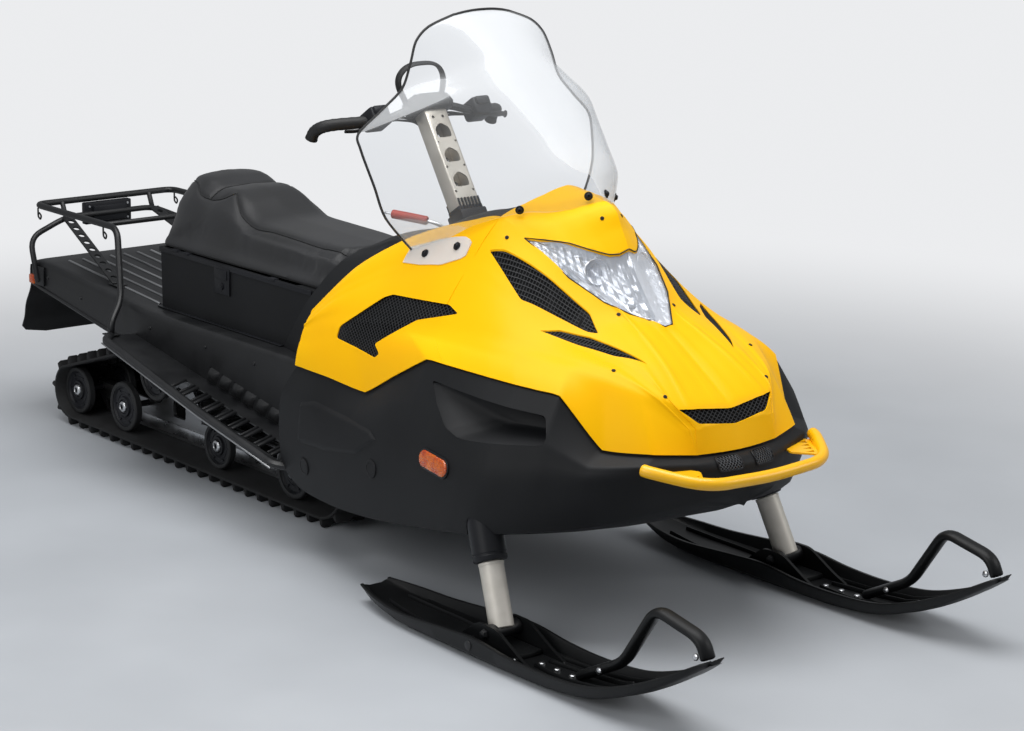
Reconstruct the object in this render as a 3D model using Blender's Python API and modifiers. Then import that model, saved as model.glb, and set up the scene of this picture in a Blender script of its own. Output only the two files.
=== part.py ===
"""Wide-track utility snowmobile: long rear tunnel, bench seat, cargo rack, one-piece nose and two steered skis.

Metres, +Z up, +X forward, +Y to the rider's left. Stations along X are read from the datum bulkhead, and
DATUM_X moves them so that the origin lies under the middle of the machine's box.
"""

import math

import bmesh
import bpy
from mathutils import Vector

# Driving dimensions, in metres
DATUM_X = -0.0122
GAP = 0.0004

# Track loop
TRACK_HALF_WIDTH = 0.250
BELT_THICK = 0.008
LUG_HEIGHT = 0.025
LUG_COUNT = 60
LUG_BASE = 0.020
LUG_TIP = 0.012
BELT_FLOOR = LUG_HEIGHT + BELT_THICK

# Wheels inside the track loop: station, radius, height of the centre
WHEEL_Y = 0.205
WHEEL_WIDTH = 0.024
REAR_IDLER = {"x": -1.440, "r": 0.077}
RAIL_BEND = {"x": -0.090, "r": 0.117}
SPROCKET = {"x": 0.120, "r": 0.085, "z": 0.310}


def along_rails(metres_from_rear):
    """Station that keeps its share of the run between the rear idler and the bend of the rails."""
    return REAR_IDLER["x"] + metres_from_rear / 1.350 * (RAIL_BEND["x"] - REAR_IDLER["x"])


SECOND_IDLER = {"x": along_rails(0.275), "r": 0.080}
THIRD_IDLER = {"x": along_rails(0.800), "r": 0.072}
FOURTH_IDLER = {"x": along_rails(1.185), "r": 0.080}
CARRIER = {"x": along_rails(0.455), "r": 0.082, "z": 0.250}

# Tunnel and boards
TRACK_CLEAR = 0.024
TUNNEL_SHEET = 0.004
TUNNEL_HALF_WIDTH = TRACK_HALF_WIDTH + TRACK_CLEAR + TUNNEL_SHEET
TUNNEL_REAR = REAR_IDLER["x"] - 0.160
BOARD_FRONT_X = 0.030
BOARD_REAR_X = -0.985
BOARD_FRONT_Z = 0.222
BOARD_SLOPE = 0.164
BOARD_THICK = 0.006
DECK_Z = 0.470

# Skis, struts and steering
SKI_Y = 0.482
SKI_HALF_WIDTH = 0.098
SKI_BOLT = Vector((1.014, SKI_Y, 0.062))
STRUT_LOW = Vector((1.002, SKI_Y, 0.088))
STRUT_UP = Vector((-0.411, -0.103, 0.906)).normalized()
SLEEVE_RADIUS = 0.043
LEG_RADIUS = 0.031
STEM_RADIUS = 0.022
SLEEVE_START = 0.138
COLUMN_BASE = Vector((0.250, 0.0, 0.915))
COLUMN_TOP = Vector((0.089, 0.0, 1.163))

# Seat and box
BOX_BOTTOM = DECK_Z + 0.001
BOX_TOP = 0.655
BOX_WALL = 0.005
SEAT_BASE = BOX_TOP + 0.0006

FINISHES = {
    "yellow paint": ((0.95, 0.52, 0.01), 0.35, 0.0),
    "black plastic": ((0.012, 0.012, 0.013), 0.55, 0.0),
    "black paint": ((0.015, 0.015, 0.016), 0.40, 0.0),
    "seat vinyl": ((0.013, 0.013, 0.014), 0.65, 0.0),
    "track rubber": ((0.011, 0.011, 0.011), 0.80, 0.0),
    "champagne aluminium": ((0.62, 0.58, 0.50), 0.38, 1.0),
    "bare aluminium": ((0.70, 0.70, 0.71), 0.33, 1.0),
    "dark steel": ((0.09, 0.09, 0.09), 0.50, 1.0),
    "clear plastic": ((0.80, 0.86, 0.90), 0.05, 0.0),
    "amber plastic": ((0.90, 0.20, 0.01), 0.20, 0.0),
    "red plastic": ((0.70, 0.02, 0.02), 0.20, 0.0),
    "cast engine": ((0.20, 0.20, 0.20), 0.60, 1.0),
    "red enamel": ((0.55, 0.06, 0.02), 0.35, 0.0),
}


def clear_scene():
    for obj in list(bpy.data.objects):
        bpy.data.objects.remove(obj, do_unlink=True)


def new_collection(name, hidden=False):
    made = bpy.data.collections.new(name)
    bpy.context.scene.collection.children.link(made)
    made.hide_render = hidden
    return made


clear_scene()
PARTS = new_collection("snowmobile")
CUTTERS = new_collection("cutters", hidden=True)


def finish_material(obj, finish):
    colour, roughness, metallic = FINISHES[finish]
    material = bpy.data.materials.new(obj.name + " " + finish)
    material.use_nodes = True
    shader = material.node_tree.nodes["Principled BSDF"]
    shader.inputs["Base Color"].default_value = (*colour, 1.0)
    shader.inputs["Roughness"].default_value = roughness
    shader.inputs["Metallic"].default_value = metallic
    material.diffuse_color = (*colour, 1.0)
    obj.data.materials.clear()
    obj.data.materials.append(material)


def to_object(name, bm, finish=None):
    """Writes a bmesh out as an object, in the parts with a finish and in the cutters without one."""
    bmesh.ops.remove_doubles(bm, verts=bm.verts, dist=0.00005)
    bmesh.ops.recalc_face_normals(bm, faces=bm.faces)
    bmesh.ops.translate(bm, verts=bm.verts, vec=(DATUM_X, 0.0, 0.0))
    mesh = bpy.data.meshes.new(name)
    bm.to_mesh(mesh)
    bm.free()
    obj = bpy.data.objects.new(name, mesh)
    if finish is None:
        CUTTERS.objects.link(obj)
        obj.hide_render = True
        obj.display_type = "WIRE"
    else:
        PARTS.objects.link(obj)
        finish_material(obj, finish)
    return obj


def combine(obj, others, operation):
    for other in others:
        modifier = obj.modifiers.new(operation.lower() + " " + other.name, "BOOLEAN")
        modifier.operation = operation
        modifier.solver = "EXACT"
        modifier.object = other


def cut(obj, *others):
    combine(obj, others, "DIFFERENCE")
    return obj


def fuse(obj, *others):
    combine(obj, others, "UNION")
    return obj


def bevel(obj, width, segments=2, angle=35.0):
    modifier = obj.modifiers.new("edge rounding", "BEVEL")
    modifier.width = width
    modifier.segments = segments
    modifier.limit_method = "ANGLE"
    modifier.angle_limit = math.radians(angle)
    return obj


def side_points(points, side):
    return [(x, side * y, z) for x, y, z in points]


# Solids
def block(name, low, high, finish=None, turn=None):
    bm = bmesh.new()
    bmesh.ops.create_cube(bm, size=1.0)
    size = Vector(high) - Vector(low)
    middle = (Vector(high) + Vector(low)) / 2
    bmesh.ops.scale(bm, verts=bm.verts, vec=size)
    if turn is not None:
        bmesh.ops.rotate(bm, verts=bm.verts, matrix=turn)
    bmesh.ops.translate(bm, verts=bm.verts, vec=middle)
    return to_object(name, bm, finish)


def plate(name, outline, normal_axis, low, high, finish=None):
    """Outline of 2D points extruded from low to high along X, Y or Z."""
    bm = bmesh.new()

    def at(point, level):
        a, b = point
        if normal_axis == "Y":
            return (a, level, b)
        if normal_axis == "Z":
            return (a, b, level)
        return (level, a, b)

    bottom = [bm.verts.new(at(point, low)) for point in outline]
    top = [bm.verts.new(at(point, high)) for point in outline]
    bm.faces.new(bottom)
    bm.faces.new(top)
    for i in range(len(outline)):
        j = (i + 1) % len(outline)
        bm.faces.new((bottom[i], bottom[j], top[j], top[i]))
    return to_object(name, bm, finish)


def rod(name, start, end, radius, finish=None, segments=24, end_radius=None):
    start = Vector(start)
    end = Vector(end)
    bm = bmesh.new()
    bmesh.ops.create_cone(
        bm,
        cap_ends=True,
        segments=segments,
        radius1=radius,
        radius2=radius if end_radius is None else end_radius,
        depth=(end - start).length,
    )
    turn = (end - start).to_track_quat("Z", "Y").to_matrix()
    bmesh.ops.rotate(bm, verts=bm.verts, matrix=turn)
    bmesh.ops.translate(bm, verts=bm.verts, vec=(start + end) / 2)
    return to_object(name, bm, finish)


def loft(name, sections, finish=None):
    """Closed solid through sections that have the same number of points."""
    bm = bmesh.new()
    rings = [[bm.verts.new(point) for point in section] for section in sections]
    count = len(sections[0])
    for first, second in zip(rings, rings[1:]):
        for i in range(count):
            j = (i + 1) % count
            bm.faces.new((first[i], first[j], second[j], second[i]))
    bm.faces.new(rings[0])
    bm.faces.new(rings[-1])
    return to_object(name, bm, finish)


def spline(points, steps):
    """Smooth points through the given ones."""
    points = [Vector(p) for p in points]
    made = []
    for i in range(len(points) - 1):
        before = points[max(i - 1, 0)]
        after = points[min(i + 2, len(points) - 1)]
        a = points[i]
        b = points[i + 1]
        for k in range(steps):
            t = k / steps
            made.append(
                0.5
                * (
                    2 * a
                    + (b - before) * t
                    + (2 * before - 5 * a + 4 * b - after) * t**2
                    + (3 * a - 3 * b + after - before) * t**3
                )
            )
    made.append(points[-1])
    return made


def rounded_path(points, radius, steps=4):
    """Path with each inner corner replaced by an arc-like curve."""
    points = [Vector(p) for p in points]
    made = [points[0]]
    for before, corner, after in zip(points, points[1:], points[2:]):
        first = corner + (before - corner).normalized() * min(radius, (before - corner).length * 0.45)
        last = corner + (after - corner).normalized() * min(radius, (after - corner).length * 0.45)
        for k in range(steps + 1):
            t = k / steps
            made.append((1 - t) ** 2 * first + 2 * t * (1 - t) * corner + t**2 * last)
    made.append(points[-1])
    return made


def tube(name, points, radius, finish=None, sides=12, scale=(1.0, 1.0)):
    """Solid bar of round section swept along a path without twist."""
    points = [Vector(p) for p in points]
    tangents = []
    for i in range(len(points)):
        ahead = points[min(i + 1, len(points) - 1)]
        behind = points[max(i - 1, 0)]
        tangents.append((ahead - behind).normalized())
    across = tangents[0].orthogonal().normalized()
    if abs(tangents[0].y) < 0.9:
        across = (Vector((0.0, 1.0, 0.0)) - tangents[0] * tangents[0].y).normalized()
    sections = []
    for point, tangent in zip(points, tangents):
        across = (across - tangent * across.dot(tangent)).normalized()
        up = tangent.cross(across)
        ring = []
        for k in range(sides):
            angle = 2 * math.pi * (k + 0.5) / sides
            ring.append(
                point
                + across * (radius * scale[0] * math.cos(angle))
                + up * (radius * scale[1] * math.sin(angle))
            )
        sections.append(ring)
    return loft(name, sections, finish)


def face_outward(mesh, toward):
    total = sum(face.area for face in mesh.polygons)
    middle = sum((face.center * face.area for face in mesh.polygons), Vector()) / total
    outward = 0.0
    for face in mesh.polygons:
        direction = Vector(toward) if toward is not None else face.center - middle
        outward += face.area * face.normal.dot(direction)
    if outward < 0:
        mesh.flip_normals()


def sheet(name, patches, thickness, finish, mirror=True, offset=-1.0, toward=None):
    """Thin shell from grids of points. Each patch is a list of rows, and rows follow the length.

    The sheet faces away from its own middle, or toward the given direction, and thickens to the back.
    """
    bm = bmesh.new()
    for rows in patches:
        grid = [[bm.verts.new(p) for p in row] for row in rows]
        for first, second in zip(grid, grid[1:]):
            for i in range(len(first) - 1):
                bm.faces.new((first[i], first[i + 1], second[i + 1]))
                bm.faces.new((first[i], second[i + 1], second[i]))
    if mirror:
        made = bmesh.ops.duplicate(bm, geom=bm.faces[:] + bm.edges[:] + bm.verts[:])
        copied = [item for item in made["geom"] if isinstance(item, bmesh.types.BMVert)]
        for vert in copied:
            vert.co.y = -vert.co.y
    obj = to_object(name, bm, finish)
    face_outward(obj.data, toward)
    modifier = obj.modifiers.new("sheet thickness", "SOLIDIFY")
    modifier.thickness = thickness
    modifier.offset = offset
    modifier.use_even_offset = True
    modifier.thickness_clamp = 1.0
    return obj


# Body lines: station, half width and height of each row, rear to nose
BODY_ROWS = [
    # shoulder, upper middle, crease, belt, widest, chine
    (
        (0.063, 0.360, 0.666), (0.060, 0.382, 0.640), (0.058, 0.400, 0.600),
        (0.056, 0.420, 0.517), (0.010, 0.440, 0.400), (0.000, 0.425, 0.228),
    ),
    (
        (0.160, 0.300, 0.783), (0.150, 0.352, 0.718), (0.140, 0.392, 0.635),
        (0.210, 0.422, 0.515), (0.150, 0.455, 0.385), (0.100, 0.435, 0.190),
    ),
    (
        (0.280, 0.245, 0.865), (0.265, 0.315, 0.780), (0.250, 0.385, 0.662),
        (0.373, 0.424, 0.509), (0.340, 0.472, 0.385), (0.280, 0.462, 0.190),
    ),
    (
        (0.390, 0.212, 0.915), (0.380, 0.292, 0.822), (0.370, 0.380, 0.680),
        (0.500, 0.426, 0.578), (0.490, 0.486, 0.392), (0.440, 0.478, 0.203),
    ),
    (
        (0.520, 0.200, 0.955), (0.500, 0.275, 0.855), (0.480, 0.376, 0.690),
        (0.631, 0.426, 0.647), (0.620, 0.494, 0.400), (0.560, 0.486, 0.218),
    ),
    (
        (0.620, 0.185, 0.978), (0.600, 0.268, 0.862), (0.585, 0.372, 0.696),
        (0.700, 0.424, 0.648), (0.710, 0.500, 0.410), (0.660, 0.490, 0.234),
    ),
    (
        (0.700, 0.172, 0.938), (0.700, 0.262, 0.838), (0.690, 0.366, 0.702),
        (0.780, 0.419, 0.647), (0.795, 0.505, 0.417), (0.750, 0.494, 0.248),
    ),
    (
        (0.800, 0.160, 0.876), (0.800, 0.250, 0.800), (0.790, 0.358, 0.703),
        (0.860, 0.411, 0.645), (0.875, 0.507, 0.422), (0.830, 0.496, 0.262),
    ),
    (
        (0.900, 0.130, 0.812), (0.885, 0.240, 0.757), (0.875, 0.345, 0.700),
        (0.940, 0.398, 0.642), (0.950, 0.500, 0.427), (0.905, 0.492, 0.274),
    ),
    (
        (0.970, 0.102, 0.772), (0.960, 0.225, 0.730), (0.950, 0.328, 0.695),
        (1.000, 0.382, 0.639), (1.020, 0.470, 0.432), (0.975, 0.462, 0.288),
    ),
    (
        (1.060, 0.112, 0.733), (1.040, 0.210, 0.707), (1.030, 0.300, 0.688),
        (1.064, 0.360, 0.633), (1.086, 0.438, 0.445), (1.050, 0.415, 0.302),
    ),
    (
        (1.160, 0.132, 0.682), (1.130, 0.190, 0.680), (1.110, 0.262, 0.670),
        (1.161, 0.310, 0.514), (1.178, 0.374, 0.457), (1.145, 0.345, 0.323),
    ),
    (
        (1.253, 0.150, 0.612), (1.225, 0.172, 0.632), (1.190, 0.215, 0.640),
        (1.262, 0.235, 0.512), (1.266, 0.268, 0.466), (1.240, 0.245, 0.356),
    ),
    (
        (1.287, 0.115, 0.560), (1.283, 0.130, 0.560), (1.275, 0.148, 0.560),
        (1.298, 0.130, 0.502), (1.322, 0.132, 0.470), (1.310, 0.122, 0.390),
    ),
]
# Middle line of the top, from the row where the two sides meet
TOP_FIRST_ROW = 5
TOP_MIDDLE = [
    (0.660, 0.0, 1.046),
    (0.829, 0.0, 1.019),
    (0.872, 0.0, 0.960),
    (0.930, 0.0, 0.865),
    (1.031, 0.0, 0.752),
    (1.100, 0.0, 0.708),
    (1.180, 0.0, 0.658),
    (1.263, 0.0, 0.602),
    (1.291, 0.0, 0.560),
]
NOSE_BELT = (1.312, 0.0, 0.500)
NOSE_WIDEST = (1.345, 0.0, 0.474)
NOSE_CHINE = (1.338, 0.0, 0.402)
SKIN = 0.005
LAP_INSET = 0.0056
LAP_INSET_STEEP = 0.0078
LAP_HEIGHT = 0.006
CROWN = 0.006


def hood():
    shoulder = [row[0] for row in BODY_ROWS]
    side = []
    for row in BODY_ROWS:
        side.append([row[0], row[1], row[2], row[3]])
    top = []
    for middle, edge in zip(TOP_MIDDLE, shoulder[TOP_FIRST_ROW:]):
        between = (
            (middle[0] + edge[0]) / 2,
            (middle[1] + edge[1]) / 2,
            (middle[2] + edge[2]) / 2 + CROWN,
        )
        top.append([middle, between, edge])
    last = BODY_ROWS[-1]
    lip = [
        [TOP_MIDDLE[-1], (1.290, 0.058, 0.560), last[0], last[1], last[2]],
        [NOSE_BELT, (1.308, 0.060, 0.5005), (1.2995, 0.118, 0.5018), (1.2988, 0.124, 0.5019), last[3]],
    ]
    body = sheet("hood", [side, top, lip], SKIN, "yellow paint")
    cutters = []
    for side_sign, word in ((1, "left"), (-1, "right")):
        vent = [
            (0.200, 0.622), (0.335, 0.748), (0.372, 0.750), (0.672, 0.764), (0.640, 0.738),
            (0.455, 0.712), (0.360, 0.640), (0.372, 0.600), (0.340, 0.592),
        ]
        cutters.append(plate("side vent " + word, vent, "Y", 0.25 * side_sign, 0.47 * side_sign))
        duct = [(0.640, 0.222), (0.672, 0.178), (0.960, 0.168), (0.985, 0.186), (0.800, 0.272)]
        flipped = [(x, y * side_sign) for x, y in duct]
        cutters.append(plate("intake " + word, flipped, "Z", 0.70, 1.02))
        slot = [(0.868, 0.262), (0.955, 0.208), (1.132, 0.146), (1.100, 0.180), (0.985, 0.232)]
        flipped = [(x, y * side_sign) for x, y in slot]
        cutters.append(plate("hood slot " + word, flipped, "Z", 0.60, 0.80))
    mouth = [
        (-0.146, 0.600), (-0.070, 0.594), (0.0, 0.592), (0.070, 0.594),
        (0.146, 0.600), (0.104, 0.566), (0.0, 0.556), (-0.104, 0.566),
    ]
    cutters.append(plate("front mouth", mouth, "X", 1.15, 1.40))
    lamp = [
        (0.705, 0.0), (0.700, 0.090), (0.716, 0.150), (0.800, 0.146),
        (0.905, 0.108), (0.985, 0.070), (1.022, 0.0),
    ]
    lamp += [(x, -y) for x, y in reversed(lamp[1:-1])]
    lamp_cut = plate("lamp opening", lamp, "Z", 0.60, 0.93)
    cutters.append(lamp_cut)
    return cut(body, *cutters)


def lower_body():
    """Black side panels with the nose below the hood, one shell round the front."""
    rows = []
    belt_line = [Vector(row[3]) for row in BODY_ROWS]
    for i, row in enumerate(BODY_ROWS):
        belt = row[3]
        wide = row[4]
        chine = row[5]
        ahead = belt_line[min(i + 1, len(belt_line) - 1)] - belt_line[max(i - 1, 0)]
        rise = (Vector(row[2]) - Vector(belt)).normalized()
        outward = rise.cross(ahead).normalized()
        if outward.y < 0:
            outward = -outward
        inset = LAP_INSET if rise.z > 0.8 and outward.x < 0.5 else LAP_INSET_STEEP
        top = tuple(Vector(belt) - outward * inset + rise * LAP_HEIGHT)
        tuck = tuple(Vector(belt) - outward * inset - rise * 0.004)
        upper = (
            belt[0] * 0.45 + wide[0] * 0.55,
            belt[1] * 0.45 + wide[1] * 0.55 + 0.012,
            belt[2] * 0.45 + wide[2] * 0.55,
        )
        low = (
            (wide[0] + chine[0]) / 2,
            (wide[1] + chine[1]) / 2 + 0.006,
            (wide[2] + chine[2]) / 2,
        )
        rows.append([top, tuck, upper, wide, low, chine])
    rows.append(
        [
            (NOSE_BELT[0] - LAP_INSET_STEEP, 0.0, NOSE_BELT[2] + LAP_HEIGHT),
            (NOSE_BELT[0] - LAP_INSET_STEEP, 0.0, NOSE_BELT[2] - 0.004),
            (1.330, 0.0, 0.488),
            NOSE_WIDEST,
            (1.350, 0.0, 0.438),
            NOSE_CHINE,
        ]
    )
    floor = []
    for row in BODY_ROWS[3:]:
        chine = row[5]
        floor.append([chine, (chine[0], chine[1] * 0.62, chine[2] - 0.020), (chine[0], 0.0, chine[2] - 0.028)])
    floor.append([NOSE_CHINE, NOSE_CHINE, NOSE_CHINE])
    obj = sheet("lower_body", [rows, floor[:-1]], SKIN, "black plastic")
    obj.name = "lower_body"
    cutters = []
    for side, word in ((1, "left"), (-1, "right")):
        top = STRUT_LOW + STRUT_UP * 0.46
        low = STRUT_LOW + STRUT_UP * 0.10
        cutters.append(
            rod(
                "strut hole " + word,
                (low.x, low.y * side, low.z),
                (top.x, top.y * side, top.z),
                SLEEVE_RADIUS + 0.0005,
                segments=32,
            )
        )
        cutters.append(marker_block("marker pocket " + word, side, GAP))
        cutters.append(bumper_web("bumper slot " + word, side, GAP))
    return cut(obj, *cutters)


MARKER = {"x": 0.764, "y": 0.5005, "z": 0.413, "half_long": 0.050, "half_high": 0.016}


def marker_block(name, side, grow, finish=None, depth=0.010):
    inner = side * (MARKER["y"] - depth - grow)
    outer = side * (MARKER["y"] + 0.012 + grow)
    return block(
        name,
        (MARKER["x"] - MARKER["half_long"] - grow, min(inner, outer), MARKER["z"] - MARKER["half_high"] - grow),
        (MARKER["x"] + MARKER["half_long"] + grow, max(inner, outer), MARKER["z"] + MARKER["half_high"] + grow),
        finish,
    )


def wheel_height(wheel):
    return wheel.get("z", BELT_FLOOR + 0.0005 + wheel["r"])


def tangent_loop(circles, steps):
    """Outline round a set of circles that turns one way, as an open list of points."""
    angles = [2 * math.pi * k / steps for k in range(steps)]
    made = []
    for angle in angles:
        direction = Vector((math.cos(angle), math.sin(angle)))
        best = max(circles, key=lambda c: c["x"] * direction.x + c["z"] * direction.y + c["r"])
        made.append(Vector((best["x"], best["z"])) + direction * best["r"])
    return made


def resample(loop, count_at):
    """Point and outward normal at each given fraction of the loop's length."""
    lengths = [0.0]
    for a, b in zip(loop, loop[1:] + loop[:1]):
        lengths.append(lengths[-1] + (b - a).length)
    total = lengths[-1]
    made = []
    k = 0
    for fraction in count_at:
        distance = fraction * total
        while lengths[k + 1] < distance:
            k += 1
        a = loop[k]
        b = loop[(k + 1) % len(loop)]
        share = (distance - lengths[k]) / (lengths[k + 1] - lengths[k])
        along = (b - a).normalized()
        made.append((a + (b - a) * share, Vector((along.y, -along.x))))
    return made, total


def track_circles():
    rear = {"x": REAR_IDLER["x"], "z": BELT_FLOOR + REAR_IDLER["r"], "r": REAR_IDLER["r"]}
    carrier = {"x": CARRIER["x"], "z": CARRIER["z"], "r": CARRIER["r"]}
    bend = {"x": RAIL_BEND["x"], "z": BELT_FLOOR + RAIL_BEND["r"], "r": RAIL_BEND["r"]}
    sprocket = {"x": SPROCKET["x"], "z": SPROCKET["z"], "r": SPROCKET["r"]}
    return [rear, carrier, bend, sprocket]


def track():
    loop = tangent_loop(track_circles(), 180)
    clean = []
    for point in loop:
        if not clean or (point - clean[-1]).length > 0.0005:
            clean.append(point)
    loop = clean
    total = sum((b - a).length for a, b in zip(loop, loop[1:] + loop[:1]))
    pitch = total / LUG_COUNT
    offsets = []
    fractions = []
    for k in range(LUG_COUNT):
        middle = (k + 0.5) * pitch
        profile = (
            (-LUG_BASE / 2, BELT_THICK),
            (-LUG_TIP / 2, BELT_THICK + LUG_HEIGHT),
            (LUG_TIP / 2, BELT_THICK + LUG_HEIGHT),
            (LUG_BASE / 2, BELT_THICK),
            (pitch * 0.48, BELT_THICK),
        )
        for shift, height in profile:
            fractions.append((middle + shift) / total)
            offsets.append(height)
    places, total = resample(loop, fractions)
    bm = bmesh.new()
    rings = []
    for (point, normal), height in zip(places, offsets):
        outer = point + normal * height
        rings.append(
            [
                bm.verts.new((point.x, -TRACK_HALF_WIDTH, point.y)),
                bm.verts.new((outer.x, -TRACK_HALF_WIDTH, outer.y)),
                bm.verts.new((outer.x, TRACK_HALF_WIDTH, outer.y)),
                bm.verts.new((point.x, TRACK_HALF_WIDTH, point.y)),
            ]
        )
    for first, second in zip(rings, rings[1:] + rings[:1]):
        for i in range(4):
            j = (i + 1) % 4
            bm.faces.new((first[i], first[j], second[j], second[i]))
    return to_object("track", bm, "track rubber")


def wheel_pair(name, wheel, finish="black plastic", inner=True):
    """Two or four wheels on one axle that reaches the rails."""
    x = wheel["x"]
    z = wheel_height(wheel)
    radius = wheel["r"] - 0.0025
    axle = rod(name, (x, -WHEEL_Y - 0.02, z), (x, WHEEL_Y + 0.02, z), 0.010, finish, segments=12)
    extras = []
    places = [WHEEL_Y, -WHEEL_Y]
    if inner:
        places += [0.055, -0.055]
    for y in places:
        half = WHEEL_WIDTH / 2
        word = name + (" outer " if abs(y) > 0.1 else " inner ") + ("left" if y > 0 else "right")
        disc = rod(word, (x, y - half, z), (x, y + half, z), radius, segments=28)
        near = y - half
        far = y + half
        dish = rod(word + " dish", (x, near - 0.002, z), (x, near + 0.008, z), radius * 0.72, segments=20)
        other = rod(word + " back dish", (x, far - 0.008, z), (x, far + 0.002, z), radius * 0.72, segments=20)
        hub = rod(word + " hub", (x, y - half - 0.010, z), (x, y + half + 0.010, z), 0.024, segments=12)
        cut(disc, dish, other)
        fuse(disc, hub)
        extras.append(disc)
    return fuse(axle, *extras)


RAIL_Y = 0.120
RAIL_THICK = 0.012


def slide_rail(side, word):
    bottom = BELT_FLOOR + 0.0008
    outline = [(REAR_IDLER["x"] + 0.035, bottom), (RAIL_BEND["x"] - 0.002, bottom)]
    centre_z = BELT_FLOOR + RAIL_BEND["r"]
    for degrees in (12, 24, 36, 48):
        angle = math.radians(degrees - 90)
        radius = RAIL_BEND["r"] - 0.0015
        outline.append((RAIL_BEND["x"] + radius * math.cos(angle), centre_z + radius * math.sin(angle)))
    for degrees in (44, 24, 4):
        angle = math.radians(degrees - 90)
        radius = RAIL_BEND["r"] - 0.045
        outline.append((RAIL_BEND["x"] + radius * math.cos(angle), centre_z + radius * math.sin(angle)))
    outline += [(-0.22, 0.132), (REAR_IDLER["x"] - 0.022, 0.132), (REAR_IDLER["x"] - 0.022, 0.092)]
    rail = plate(
        "slide_rail_" + word,
        outline,
        "Y",
        side * RAIL_Y - RAIL_THICK / 2,
        side * RAIL_Y + RAIL_THICK / 2,
        "bare aluminium",
    )
    x = CARRIER["x"]
    bracket = plate(
        "carrier bracket " + word,
        [
            (x - 0.080, 0.100), (x + 0.100, 0.100),
            (x + 0.024, CARRIER["z"] + 0.022), (x - 0.024, CARRIER["z"] + 0.022),
        ],
        "Y",
        side * RAIL_Y - RAIL_THICK / 2 + 0.001,
        side * RAIL_Y + RAIL_THICK / 2 - 0.001,
    )
    fuse(rail, bracket)
    cutters = []
    for wheel in (REAR_IDLER, SECOND_IDLER, THIRD_IDLER, FOURTH_IDLER, CARRIER):
        z = wheel_height(wheel)
        y = side * RAIL_Y
        cutters.append(
            rod(
                "axle hole " + word + str(wheel["x"]),
                (wheel["x"], y - 0.02, z),
                (wheel["x"], y + 0.02, z),
                0.010 + GAP,
                segments=20,
            )
        )
    return cut(rail, *cutters)


def suspension_arm(name, foot, head):
    """Two arms joined by a cross shaft at the tunnel and a cross shaft between the rails."""
    x0, z0 = foot
    x1, z1 = head
    reach = TUNNEL_HALF_WIDTH - TUNNEL_SHEET - 0.0006
    shaft = rod(name, (x1, -reach, z1), (x1, reach, z1), 0.014, "black paint", segments=20)
    pieces = []
    low_reach = RAIL_Y - RAIL_THICK / 2 - 0.0005
    pieces.append(rod(name + " low shaft", (x0, -low_reach, z0), (x0, low_reach, z0), 0.012, segments=20))
    for y in (-0.080, 0.080):
        pieces.append(rod(name + " arm" + str(y), (x0, y, z0), (x1, y, z1), 0.016, segments=16))
    return fuse(shaft, *pieces)


def tunnel():
    x_front = 0.340
    outline = [
        (x_front, DECK_Z),
        (-0.930, DECK_Z),
        (TUNNEL_REAR + 0.040, 0.520),
        (TUNNEL_REAR, 0.500),
        (TUNNEL_REAR, 0.436),
        (TUNNEL_REAR + 0.040, 0.425),
        (-1.040, 0.352),
        (BOARD_REAR_X, 0.340),
        (BOARD_FRONT_X, 0.196),
        (x_front, 0.196),
    ]
    body = plate("tunnel", outline, "Y", -TUNNEL_HALF_WIDTH, TUNNEL_HALF_WIDTH, "black paint")
    inside = [
        (x_front + 0.05, DECK_Z - TUNNEL_SHEET),
        (-0.930, DECK_Z - TUNNEL_SHEET),
        (TUNNEL_REAR + 0.040, 0.520 - TUNNEL_SHEET),
        (TUNNEL_REAR - 0.100, 0.480),
        (TUNNEL_REAR - 0.100, 0.10),
        (x_front + 0.05, 0.10),
    ]
    half = TUNNEL_HALF_WIDTH - TUNNEL_SHEET
    hollow = plate("tunnel hollow", inside, "Y", -half, half)
    return cut(body, hollow)


def board_height(x):
    return BOARD_FRONT_Z - BOARD_SLOPE * (x - BOARD_FRONT_X)


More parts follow.
